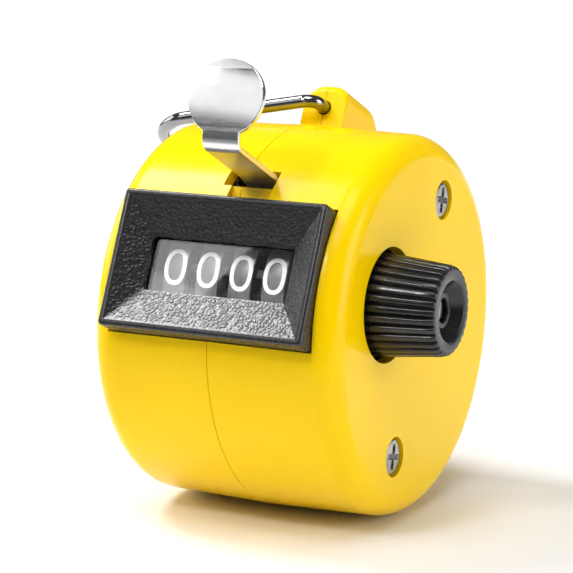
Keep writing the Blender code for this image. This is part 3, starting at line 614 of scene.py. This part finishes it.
def make_screws(nickel):
    foot = SCREW_TOP - SCREW_HEAD_HEIGHT
    edge = SCREW_TOP - SCREW_HEAD_CROWN
    profile = [(foot, 0.0), (foot, SCREW_HEAD_RADIUS), (edge - 0.1 * MM, SCREW_HEAD_RADIUS)]
    for k in range(7):
        angle = math.radians(90.0 * k / 6)
        radius = SCREW_HEAD_RADIUS * (0.97 - 0.35 * (1 - math.cos(angle)))
        profile.append((edge + SCREW_HEAD_CROWN * math.sin(angle), radius))
    profile.append((SCREW_TOP, 0.0))
    for name, z in (("case_screw_upper", SCREW_OFFSET), ("case_screw_lower", -SCREW_OFFSET)):
        head = new_object(name + "_head", turned(profile, 64, (0.0, z)), (nickel,))
        bars = [new_object("recess", cross_bar(CROSS_TURN + turn, z)) for turn in (0.0, 90.0)]
        for bar in bars:
            carve(head, bar)
        bake_modifiers(head, bars)
        round_edges(head, 0.05 * MM, 2, 40.0)
        place(head, "case", "nickel_steel", name)


# ---- window ----

def bezel_outline(half, corner, long_steps=260, short_steps=164):
    """A rectangle with small round corners, as points that match from one outline to the next."""
    points = []
    sides = (((-1, -1), (1, -1), long_steps), ((1, -1), (1, 1), short_steps))
    sides += (((1, 1), (-1, 1), long_steps), ((-1, 1), (-1, -1), short_steps))
    for start, end, steps in sides:
        for k in range(steps):
            share = k / steps
            x = half[0] * (start[0] + (end[0] - start[0]) * share)
            z = half[1] * (start[1] + (end[1] - start[1]) * share)
            inner = (half[0] - corner, half[1] - corner)
            if abs(x) > inner[0] and abs(z) > inner[1]:
                off = Vector((abs(x) - inner[0], abs(z) - inner[1]))
                off = off.normalized() * min(off.length, corner)
                x = math.copysign(inner[0] + off.x, x)
                z = math.copysign(inner[1] + off.y, z)
            points.append((x, z))
    return points


def grain(x, z):
    """Height from 0 to 1 of a pebbled leather grain."""
    warp = noise.noise(Vector((x, z, 0.0)) / GRAIN_WARP_SIZE) * 0.6
    point = Vector((x / GRAIN_SIZE + warp, z / GRAIN_SIZE - warp, 3.7))
    distances = noise.voronoi(point)[0]
    edge = min(1.0, (distances[1] - distances[0]) / 0.42)
    return edge * edge * (3.0 - 2.0 * edge)


def make_bezel(rim_material, grain_material):
    rim_half = (BEZEL_HALF[0] - BEZEL_RIM, BEZEL_HALF[1] - BEZEL_RIM)
    inner_corner = 0.1 * MM
    edge = BEZEL_EDGE_ROUND

    def shrunk(by):
        return tuple(half - by for half in BEZEL_HALF)

    plain = [
        (BEZEL_HALF, BEZEL_BACK, BEZEL_CORNER),
        (BEZEL_HALF, BEZEL_FRONT + edge, BEZEL_CORNER),
        (shrunk(edge * 0.13), BEZEL_FRONT + edge * 0.5, BEZEL_CORNER - 0.03 * MM),
        (shrunk(edge * 0.5), BEZEL_FRONT + edge * 0.13, BEZEL_CORNER - 0.06 * MM),
        (shrunk(edge), BEZEL_FRONT, BEZEL_CORNER - 0.1 * MM),
        (shrunk(BEZEL_RIM - 0.06 * MM), BEZEL_FRONT, inner_corner),
        (rim_half, BEZEL_FRONT + RIM_STEP, inner_corner),
    ]
    bm = bmesh.new()
    rings = []

    def add_ring(points, y):
        rings.append([bm.verts.new((x, y, BEZEL_CENTRE_Z + z)) for x, z in points])

    for half, y, corner in plain:
        add_ring(bezel_outline(half, corner), y)
    outer = bezel_outline(rim_half, inner_corner)
    inner = bezel_outline(WINDOW_HALF, WINDOW_CORNER)
    fall = WINDOW_FRONT - BEZEL_FRONT - RIM_STEP
    for row in range(1, GRAIN_ROWS + 1):
        share = row / GRAIN_ROWS
        height = GRAIN_HEIGHT * min(1.0, row / GRAIN_FADE_ROWS, (GRAIN_ROWS - row) / GRAIN_FADE_ROWS)
        ring = []
        for (x0, z0), (x1, z1) in zip(outer, inner):
            x, z = x0 + (x1 - x0) * share, z0 + (z1 - z0) * share
            y = BEZEL_FRONT + RIM_STEP + fall * share - height * (grain(x, z) - 0.6)
            ring.append(bm.verts.new((x, y, BEZEL_CENTRE_Z + z)))
        rings.append(ring)
    add_ring(inner, WINDOW_BACK)
    back_half = (WINDOW_HALF[0] + MM, WINDOW_HALF[1] + MM)
    add_ring(bezel_outline(back_half, WINDOW_CORNER), WINDOW_BACK)
    add_ring(bezel_outline(back_half, WINDOW_CORNER), BEZEL_BACK)
    faces = bridge_rings(bm, rings, closed=True)
    first_grained = len(plain) - 1
    for k, face in enumerate(faces):
        grained = first_grained <= k // len(outer) < first_grained + GRAIN_ROWS
        face.material_index = 1 if grained else 0
    add_shroud(bm)
    bezel = new_object("window_bezel_grained", bm, (rim_material, grain_material), 50.0)
    weight_normals(bezel)
    place(bezel, "case", "frame_plastic", "window_bezel")


def add_shroud(bm):
    """The dark tunnel between the lens and the wheels."""
    outer = (WINDOW_HALF[0] + SHROUD_WALL, WINDOW_HALF[1] + SHROUD_WALL)
    front, back = SHROUD_Y
    rings = []
    for half, y in ((WINDOW_HALF, front), (WINDOW_HALF, back), (outer, back), (outer, front)):
        outline = bezel_outline(half, WINDOW_CORNER, 8, 8)
        rings.append([bm.verts.new((x, y, BEZEL_CENTRE_Z + z)) for x, z in outline])
    bridge_rings(bm, rings, closed=True)


def make_lens(clear):
    half = (WINDOW_HALF[0] + LENS_OVERLAP, WINDOW_HALF[1] + LENS_OVERLAP)
    z = (BEZEL_CENTRE_Z - half[1], BEZEL_CENTRE_Z + half[1])
    lens = new_object("window_pane", box((-half[0], half[0]), LENS_Y, z), (clear,))
    round_edges(lens, 0.12 * MM, 3)
    lens.visible_shadow = False
    place(lens, "case", "clear_plastic", "window_lens")


# ---- number wheels ----

def ellipse(centre, half, start, end, steps, power=1.0):
    """Points on an ellipse, squared off a little where power is under 1."""
    points = []
    for k in range(steps + 1):
        angle = math.radians(start + (end - start) * k / steps)
        c, s = math.cos(angle), math.sin(angle)
        x = math.copysign(abs(c) ** power, c)
        y = math.copysign(abs(s) ** power, s)
        points.append((centre[0] + half[0] * x, centre[1] + half[1] * y))
    return points


def digit_strokes(digit):
    """Centre lines of a plain numeral, in a box from -1 to 1 each way."""
    high, low = (0.0, 0.42), (0.0, -0.42)
    loop, belly = (1.0, 0.58), (1.0, 0.62)
    tail = (1.9, 1.42)
    upper, lower = (0.0, 0.5), (0.0, -0.45)
    bowl = (1.0, 0.55)
    strokes = {
        0: [ellipse((0.0, 0.0), (1.0, 1.0), 0, 360, 64, 0.86)],
        1: [[(-0.55, 0.55), (0.1, 1.0), (0.1, -1.0)]],
        2: [ellipse(high, loop, 165, -35, 24) + [(-1.0, -1.0), (1.0, -1.0)]],
        3: [ellipse(upper, (0.9, 0.5), 150, -90, 24), ellipse(lower, bowl, 90, -150, 24)],
        4: [[(0.45, -1.0), (0.45, 1.0), (-1.0, -0.4), (1.0, -0.4)]],
        5: [[(0.85, 1.0), (-0.75, 1.0), (-0.85, 0.1)] + ellipse((0.0, -0.38), belly, 120, -150, 24)],
        6: [ellipse(low, loop, 0, 360, 48), ellipse((0.9, -0.42), tail, 180, 105, 20)],
        7: [[(-1.0, 1.0), (1.0, 1.0), (-0.25, -1.0)]],
        8: [ellipse(upper, (0.86, 0.5), 0, 360, 48), ellipse(lower, bowl, 0, 360, 48)],
        9: [ellipse(high, loop, 0, 360, 48), ellipse((-0.9, 0.42), tail, 0, -75, 20)],
    }
    return strokes[digit]


def resample(line, closed):
    """Even points along a line, close enough together to follow a round wheel."""
    dense = []
    for start, end in zip(line, line[1:]):
        steps = max(1, math.ceil(math.dist(start, end) / DIGIT_SPACING))
        for k in range(steps):
            dense.append([start[i] + (end[i] - start[i]) * k / steps for i in range(2)])
    if not closed:
        dense.append(line[-1])
    return dense


def stroke_onto_wheel(bm, line, closed, turn, x_centre, height):
    """A flat stroke with round ends, wrapped round the wheel. turn is where the numeral stands."""
    count = len(line)
    travelled = [0.0]
    for start, end in zip(line, line[1:]):
        travelled.append(travelled[-1] + math.dist(start, end))
    rows = []
    for k, point in enumerate(line):
        before = line[k - 1] if closed or k else line[0]
        after = line[(k + 1) % count] if closed or k < count - 1 else line[-1]
        along = Vector((after[0] - before[0], after[1] - before[1])).normalized()
        half = DIGIT_STROKE
        if not closed:
            near_end = min(travelled[k], travelled[-1] - travelled[k])
            inset = max(0.0, DIGIT_STROKE - near_end)
            half = math.sqrt(max(DIGIT_STROKE ** 2 - inset ** 2, (DIGIT_STROKE * 0.25) ** 2))
        row = []
        for radius in (WHEEL_RADIUS - DIGIT_RELIEF, WHEEL_RADIUS + height):
            for sign in (-1, 1):
                x = x_centre + point[0] - sign * along.y * half
                angle = turn + (point[1] + sign * along.x * half) / WHEEL_RADIUS
                y = COUNTER[0] - radius * math.cos(angle)
                z = COUNTER[1] + radius * math.sin(angle)
                row.append(bm.verts.new((x, y, z)))
        rows.append([row[0], row[1], row[3], row[2]])
    bridge_rings(bm, rows, closed)
    if not closed:
        bm.faces.new(rows[0])
        bm.faces.new(rows[-1])


def make_numerals(x_centre, body, white):
    """The numerals 0 to 9 round one wheel. A second stroke stands a touch higher than the first."""
    bm = bmesh.new()
    for digit in range(10):
        turn = DIGIT_DROP - 2.0 * math.pi * digit / 10
        for number, line in enumerate(digit_strokes(digit)):
            scaled = [(x * DIGIT_HALF[0], y * DIGIT_HALF[1]) for x, y in line]
            closed = math.dist(scaled[0], scaled[-1]) < 0.001 * MM
            height = DIGIT_RELIEF * (1.0 + 0.2 * number)
            stroke_onto_wheel(bm, resample(scaled, closed), closed, turn, x_centre, height)
    place(new_object(body + "_numerals", bm, (white,)), body, "wheel_plastic")


def tooth_wave(angle):
    """Grooves of the transfer gear on a number wheel."""
    level = 0.5 - 0.5 * math.cos(20 * angle)
    return min(1.0, max(0.0, (level - 0.25) * 2.0))


def make_wheels(band, plastic, white):
    for number, body in enumerate(("thousands", "hundreds", "tens", "units")):
        centre = WHEEL_STACK_X + (number - 1.5) * WHEEL_PITCH
        left, right = centre - BAND_WIDTH / 2, centre + BAND_WIDTH / 2
        step, rim = BAND_EDGE * 0.3, WHEEL_RADIUS - BAND_EDGE
        profile = [(left, SHAFT_BORE), (left, rim), (left + step, WHEEL_RADIUS - step)]
        profile += [(left + BAND_EDGE, WHEEL_RADIUS), (right - BAND_EDGE, WHEEL_RADIUS)]
        profile += [(right - step, WHEEL_RADIUS - step), (right, rim)]
        if body == "units":
            profile += [(right, HUB_RADIUS), (HUB_END, HUB_RADIUS), (HUB_END, SHAFT_BORE)]
        else:
            end = right + GEAR_WIDTH
            profile += [(right, GEAR_RADIUS, GEAR_DEPTH), (end, GEAR_RADIUS, GEAR_DEPTH)]
            profile.append((end, SHAFT_BORE))
        bm = turned(profile, 240, COUNTER, tooth_wave)
        for face in bm.faces:
            face.material_index = 1 if face.calc_center_median().x > right else 0
        wheel = new_object(body + "_number_wheel", bm, (band, plastic), 40.0)
        place(wheel, body, "wheel_plastic", body + "_wheel")
        make_numerals(centre, body, white)


# ---- knob ----

def rib_wave(angle):
    """Narrow grooves between rounded ribs."""
    level = 0.5 + 0.5 * math.cos(KNOB_RIBS * angle)
    return 1.0 - (1.0 - level ** 3) ** 0.8


def knob_radius(x):
    share = (x - KNOB_X[0]) / (KNOB_X[1] - KNOB_X[0])
    return KNOB_ROOT_RADIUS + (KNOB_TIP_RADIUS - KNOB_ROOT_RADIUS) * share


def knob_side():
    """The fluted cone and its rounded end, as x, radius and groove depth."""
    start, end = KNOB_X
    stations = (start, *KNOB_STATIONS, end - KNOB_END_ROUND)
    profile = [(x, knob_radius(x), KNOB_RIB_DEPTH) for x in stations]
    for k in range(1, 6):
        angle = math.radians(90.0 * k / 5)
        x = end - KNOB_END_ROUND * (1.0 - math.sin(angle))
        radius = KNOB_TIP_RADIUS - KNOB_END_FALL * (1 - math.cos(angle))
        profile.append((x, radius, KNOB_RIB_DEPTH * (1 - 0.13 * k)))
    return profile


def knob_recess():
    """The dished end, with a small boss round the shaft in its middle."""
    end = KNOB_X[1]
    floor = end - KNOB_RECESS_DEPTH
    boss = end - KNOB_BOSS_DROP
    chamfer = 0.1 * MM
    profile = [(end, KNOB_FACE_RADIUS), (end, KNOB_RECESS_RADIUS + 0.05 * MM)]
    profile += [(end - 0.08 * MM, KNOB_RECESS_RADIUS - 0.05 * MM), (floor + chamfer, KNOB_RECESS_FOOT)]
    profile += [(floor, KNOB_RECESS_FOOT - 0.15 * MM), (floor, KNOB_BOSS_RADIUS + 0.05 * MM)]
    profile += [(boss - chamfer, KNOB_BOSS_RADIUS), (boss, KNOB_BOSS_RADIUS - chamfer)]
    profile += [(boss, KNOB_BORE + chamfer), (boss - chamfer, KNOB_BORE)]
    return profile


def make_knob(plastic, steel):
    profile = [(KNOB_X[0], KNOB_WIDE_BORE)] + knob_side() + knob_recess()
    profile += [(KNOB_BORE_STEP, KNOB_BORE), (KNOB_BORE_STEP, KNOB_WIDE_BORE)]
    skin = turned(profile, KNOB_RIBS * 16, COUNTER, rib_wave)
    knob = new_object("reset_knob_ribbed", skin, (plastic,), 40.0)
    place(knob, "knob", "knob_plastic", "reset_knob")

    start, shoulder, end = SHAFT_X
    outline = [(start, 0.0), (start, SHAFT_RADIUS), (shoulder, SHAFT_RADIUS)]
    outline += [(shoulder, SHAFT_TIP_RADIUS), (end - 0.2 * MM, SHAFT_TIP_RADIUS)]
    outline += [(end - 0.04 * MM, SHAFT_TIP_RADIUS - 0.08 * MM), (end, SHAFT_TIP_RADIUS - 0.3 * MM)]
    outline.append((end, 0.0))
    shaft = new_object("counter_shaft_turned", turned(outline, 48, COUNTER), (steel,))
    place(shaft, "knob", "nickel_steel", "counter_shaft")


# ---- lever ----

def lever_stations():
    """Centre line points in (y, z) with half widths, from the top of the pad in through the slot."""
    up = math.dist(PAD_CENTRE, LEVER_BEND)
    rise = [(PAD_CENTRE[i] - LEVER_BEND[i]) / up for i in range(2)]
    out = (-rise[1], rise[0])
    run = math.dist(LEVER_SLOT_POINT, LEVER_BEND)
    inward = [(LEVER_SLOT_POINT[i] - LEVER_BEND[i]) / run for i in range(2)]
    top = up + PAD_HALF_HEIGHT
    stations = []
    last_angle = math.pi - math.asin(LEVER_HALF_WIDTH / PAD_HALF_WIDTH)
    steps = 60
    for k in range(steps + 1):
        angle = PAD_TOP_ANGLE + (last_angle - PAD_TOP_ANGLE) * k / steps
        s = PAD_HALF_HEIGHT * math.cos(angle)
        height = up + s
        bow = PAD_BOW * math.sin(math.pi * height / top)
        point = [PAD_CENTRE[i] + rise[i] * s + out[i] * bow for i in range(2)]
        stations.append((point, max(PAD_HALF_WIDTH * math.sin(angle), 0.1 * MM)))
    low = stations[-1][0]
    ends = (low, LEVER_BEND, [LEVER_BEND[i] + inward[i] * LEVER_BEND_LEG for i in range(2)])
    for k in range(1, 13):
        t = k / 12
        weights = ((1 - t) ** 2, 2 * t * (1 - t), t ** 2)
        point = [sum(w * p[i] for w, p in zip(weights, ends)) for i in range(2)]
        stations.append((point, LEVER_HALF_WIDTH))
    stations.append((LEVER_SLOT_POINT, LEVER_HALF_WIDTH))
    for point in arc(LEVER_PIVOT, LEVER_HOOK_RADIUS, -135.0, -10.0, 16):
        stations.append((point, LEVER_HALF_WIDTH))
    return stations


def make_lever(chrome):
    stations = lever_stations()
    count = len(stations)
    bm = bmesh.new()
    rows = []
    half = LEVER_THICKNESS / 2
    for k, (point, width) in enumerate(stations):
        before, after = stations[max(k - 1, 0)][0], stations[min(k + 1, count - 1)][0]
        along = Vector((after[0] - before[0], after[1] - before[1])).normalized()
        side = Vector((-along.y, along.x)) * half
        edge = min(LEVER_EDGE_ROUND, width * 0.5)
        corners = [(-width, 0.5), (-width + edge * 0.3, 0.85), (-width + edge, 1.0)]
        corners += [(width - edge, 1.0), (width - edge * 0.3, 0.85), (width, 0.5)]
        loop = corners + [(x, -s) for x, s in reversed(corners)]
        places = [(LEVER_X + x, point[0] + side.x * s, point[1] + side.y * s) for x, s in loop]
        rows.append([bm.verts.new(place_at) for place_at in places])
    bridge_rings(bm, rows, closed=False)
    bm.faces.new(rows[0])
    bm.faces.new(rows[-1])
    lever = new_object("thumb_lever_polished", bm, (chrome,), 40.0)
    weight_normals(lever)
    place(lever, "lever", "chromed_steel", "thumb_lever")


# ---- ring ----

def ring_path():
    """Centre line of the wire loop in its plane: q runs away from the lug, s along the hinge."""
    near = RING_NEAR_BEND
    far = RING_FAR_BEND
    side_s = RING_HALF_WIDTH
    far_centre = RING_REACH - RING_FAR_RADIUS
    corner_s = side_s - far
    corner_q = far_centre + math.sqrt((RING_FAR_RADIUS - far) ** 2 - corner_s ** 2)
    meet = math.degrees(math.atan2(corner_s, corner_q - far_centre))
    half = [(0.0, side_s - near)]
    half += arc((near, side_s - near), near, 180.0, 90.0, 14)[1:]
    half += [(corner_q * share, side_s) for share in (0.2, 0.35, 0.5, 0.65, 0.8)]
    half += arc((corner_q, corner_s), far, 90.0, meet, 18)
    half += arc((far_centre, 0.0), RING_FAR_RADIUS, meet, 0.0, 12)[1:]
    other = [(q, -s) for q, s in half[-2::-1]]
    return [(0.0, 0.0)] + half + other


def make_ring(chrome):
    curve = bpy.data.curves.new("finger_ring_wire", "CURVE")
    curve.dimensions = "3D"
    curve.bevel_depth = RING_WIRE_RADIUS
    curve.bevel_resolution = 8
    path = ring_path()
    spline = curve.splines.new("POLY")
    spline.points.add(len(path) - 1)
    for point, (q, s) in zip(spline.points, path):
        x, z = -q * math.cos(RING_DROOP), RING_AXIS_Z - q * math.sin(RING_DROOP)
        local = Vector((x, RING_CENTRE_Y + s, z))
        point.co = (*(LEAN @ local), 1.0)
    spline.use_cyclic_u = True
    spline.use_smooth = True
    curve.materials.append(chrome)
    ring = bpy.data.objects.new("finger_ring_wire", curve)
    bpy.context.scene.collection.objects.link(ring)
    place(ring, "ring", "chromed_steel", "finger_ring")


# ---- what stays as the CAD made it ----

def dress_cad_nodes(looks):
    for name, material in looks.items():
        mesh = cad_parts[name].data
        mesh.materials.clear()
        mesh.materials.append(material)


# ---- stage, light and camera ----

def make_stage():
    bm = bmesh.new()
    bmesh.ops.create_grid(bm, x_segments=2, y_segments=2, size=3.0)
    mesh = bpy.data.meshes.new("floor")
    bm.to_mesh(mesh)
    bm.free()
    look = Shader("pale_floor_painted_shade", (0.92, 0.92, 0.92), 0.6)
    split = look.tree.nodes.new("ShaderNodeSeparateXYZ")
    look.link(look.place, split.inputs["Vector"])
    # Painted shade: the floor colour darkens towards the front, so that glossy faces such as the bezel
    # reflect dark there.
    look.vary_colour((0.16, 0.16, 0.16), split.outputs["Y"], *FLOOR_PAINTED_SHADE_Y)
    mesh.materials.append(look.material)
    floor = bpy.data.objects.new("floor", mesh)
    floor.location = (0.0, 0.0, cad_box[0].z - FLOOR_GAP)
    bpy.context.scene.collection.objects.link(floor)


def make_world():
    """A dim, nearly even grey room, a touch brighter overhead. The lamps do most of the lighting."""
    world = bpy.data.worlds.new("studio")
    bpy.context.scene.world = world
    world.use_nodes = True
    nodes, links = world.node_tree.nodes, world.node_tree.links
    coordinates = nodes.new("ShaderNodeTexCoord")
    split = nodes.new("ShaderNodeSeparateXYZ")
    ramp = nodes.new("ShaderNodeValToRGB")
    links.new(coordinates.outputs["Generated"], split.inputs["Vector"])
    links.new(split.outputs["Z"], ramp.inputs["Fac"])
    ramp.color_ramp.elements[0].position = 0.1
    ramp.color_ramp.elements[0].color = (0.13, 0.13, 0.135, 1.0)
    ramp.color_ramp.elements[1].position = 0.9
    ramp.color_ramp.elements[1].color = (0.15, 0.15, 0.15, 1.0)
    links.new(ramp.outputs["Color"], nodes["Background"].inputs["Color"])


def add_light(name, location, size, radiance, target=(0.0, 0.0, 0.0), long_edge=(0.0, 0.0, 1.0)):
    """A rectangular soft light of even radiance. size runs across and then along long_edge."""
    light = bpy.data.lights.new(name, "AREA")
    light.shape = "RECTANGLE"
    light.size, light.size_y = size
    light.energy = radiance * math.pi * size[0] * size[1]
    item = bpy.data.objects.new(name, light)
    item.location = location
    back = (Vector(location) - Vector(target)).normalized()
    across = Vector(long_edge).cross(back).normalized()
    item.rotation_mode = "QUATERNION"
    item.rotation_quaternion = Matrix((across, back.cross(across), back)).transposed().to_quaternion()
    bpy.context.scene.collection.objects.link(item)


def direction(azimuth, elevation):
    """Unit vector; azimuth 0 is in front of the window and grows towards the knob side, in degrees."""
    a, e = math.radians(azimuth), math.radians(elevation)
    return Vector((math.sin(a) * math.cos(e), -math.cos(a) * math.cos(e), math.sin(e)))


def make_lights():
    """Soft boxes. The pad cards show in the lever's pad, and the window card in the window."""
    depth = (0.0, 1.0, 0.0)
    add_light("key", KEY_LIGHT, (0.23, 0.23), 20.0, long_edge=depth)
    add_light("overhead", direction(25.0, 72.0) * 0.8, (0.5, 0.5), 4.6, long_edge=depth)
    add_light("front", direction(-14.0, 43.0) * 0.7, (0.12, 0.12), 29.0)
    add_light("right_side", direction(100.0, 14.0) * LIGHT_REACH, (0.3, 0.4), 4.3)
    add_light("left_side", direction(-98.0, 16.0) * LIGHT_REACH, (0.42, 0.24), 2.8)
    low = PAD_CARD_FOOT
    for number, (high, radiance) in enumerate(PAD_CARD_STEPS):
        height = math.radians(high - low) * LIGHT_REACH
        middle = direction(PAD_CARD_AZIMUTH, (low + high) / 2.0) * LIGHT_REACH
        add_light(f"pad_card_{number}", middle, (0.42, height), radiance)
        low = high
    add_light("window_card", WINDOW_CARD, (0.14, 0.34), 1.95, long_edge=WINDOW_CARD_EDGE)
    add_light("backdrop", (0.0, 0.9, 0.6), (1.2, 0.8), 4.0, (0.0, 1.4, 0.0))


def make_camera():
    back = direction(CAMERA_AZIMUTH, CAMERA_ELEVATION)
    data = bpy.data.cameras.new("camera")
    data.lens = CAMERA_LENS
    data.sensor_width = 36.0
    data.clip_start = 0.01
    camera = bpy.data.objects.new("camera", data)
    camera.location = Vector(CAMERA_TARGET) + back * CAMERA_DISTANCE
    camera.rotation_mode = "QUATERNION"
    camera.rotation_quaternion = (-back).to_track_quat("-Z", "Y")
    bpy.context.scene.collection.objects.link(camera)
    bpy.context.scene.camera = camera


def main():
    even = (1.0, 1.0, 1.0)
    chrome_tones = ((0.3, 0.3, 0.3), (0.25, 0.25, 0.25))
    nickel_tones = ((0.5, 0.49, 0.47), (0.36, 0.35, 0.34))
    steel_tones = ((0.6, 0.6, 0.6), (0.5, 0.5, 0.5))
    sheet_tones = ((0.56, 0.57, 0.58), (0.46, 0.47, 0.48))
    brass_tones = ((0.8, 0.62, 0.28), (0.66, 0.48, 0.2))
    wire_chrome = metal("wire_chrome", *chrome_tones, (0.06, 0.12), (3.0, 3.0, 3.0))
    nickel = metal("nickel", *nickel_tones, (0.18, 0.34), (4.0, 1.0, 4.0), 0.01)
    turned_steel = metal("turned_steel", *steel_tones, (0.22, 0.36), (1.0, 5.0, 5.0), 0.01)
    sheet = metal("sheet_steel", *sheet_tones, (0.3, 0.5), even, 0.02)
    brass = metal("stamped_brass", *brass_tones, (0.25, 0.42), (1.0, 1.0, 4.0), 0.015)
    gears = gear_plastic()

    make_case(moulded_yellow())
    make_screws(nickel)
    make_bezel(satin_black(), grained_black())
    make_lens(clear_lens())
    make_wheels(wheel_band(), wheel_black(), numeral_white())
    make_knob(knob_black(), wire_chrome)
    make_lever(lever_chrome())
    make_ring(wire_chrome)

    steel_nodes = ["frame_rod_front", "frame_rod_lower", "frame_rod_rear", "pinion_shaft"]
    steel_nodes += ["lever_pivot_pin", "lever_return_spring", "ratchet_stop_spring", "shaft_clip"]
    steel_nodes += ["lever_hub", "pawl_pin", "pawl_spring"]
    looks = dict.fromkeys(steel_nodes, turned_steel)
    looks.update(dict.fromkeys(["left_frame_plate", "right_frame_plate", "shaft_spacer"], sheet))
    looks.update(dict.fromkeys(["ratchet_wheel", "drive_pawl"], brass))
    looks.update(dict.fromkeys(["tens_pinion", "hundreds_pinion", "thousands_pinion"], gears))
    dress_cad_nodes(looks)

    make_stage()
    make_world()
    make_lights()
    make_camera()
    bpy.context.scene.view_settings.view_transform = "Standard"


main()
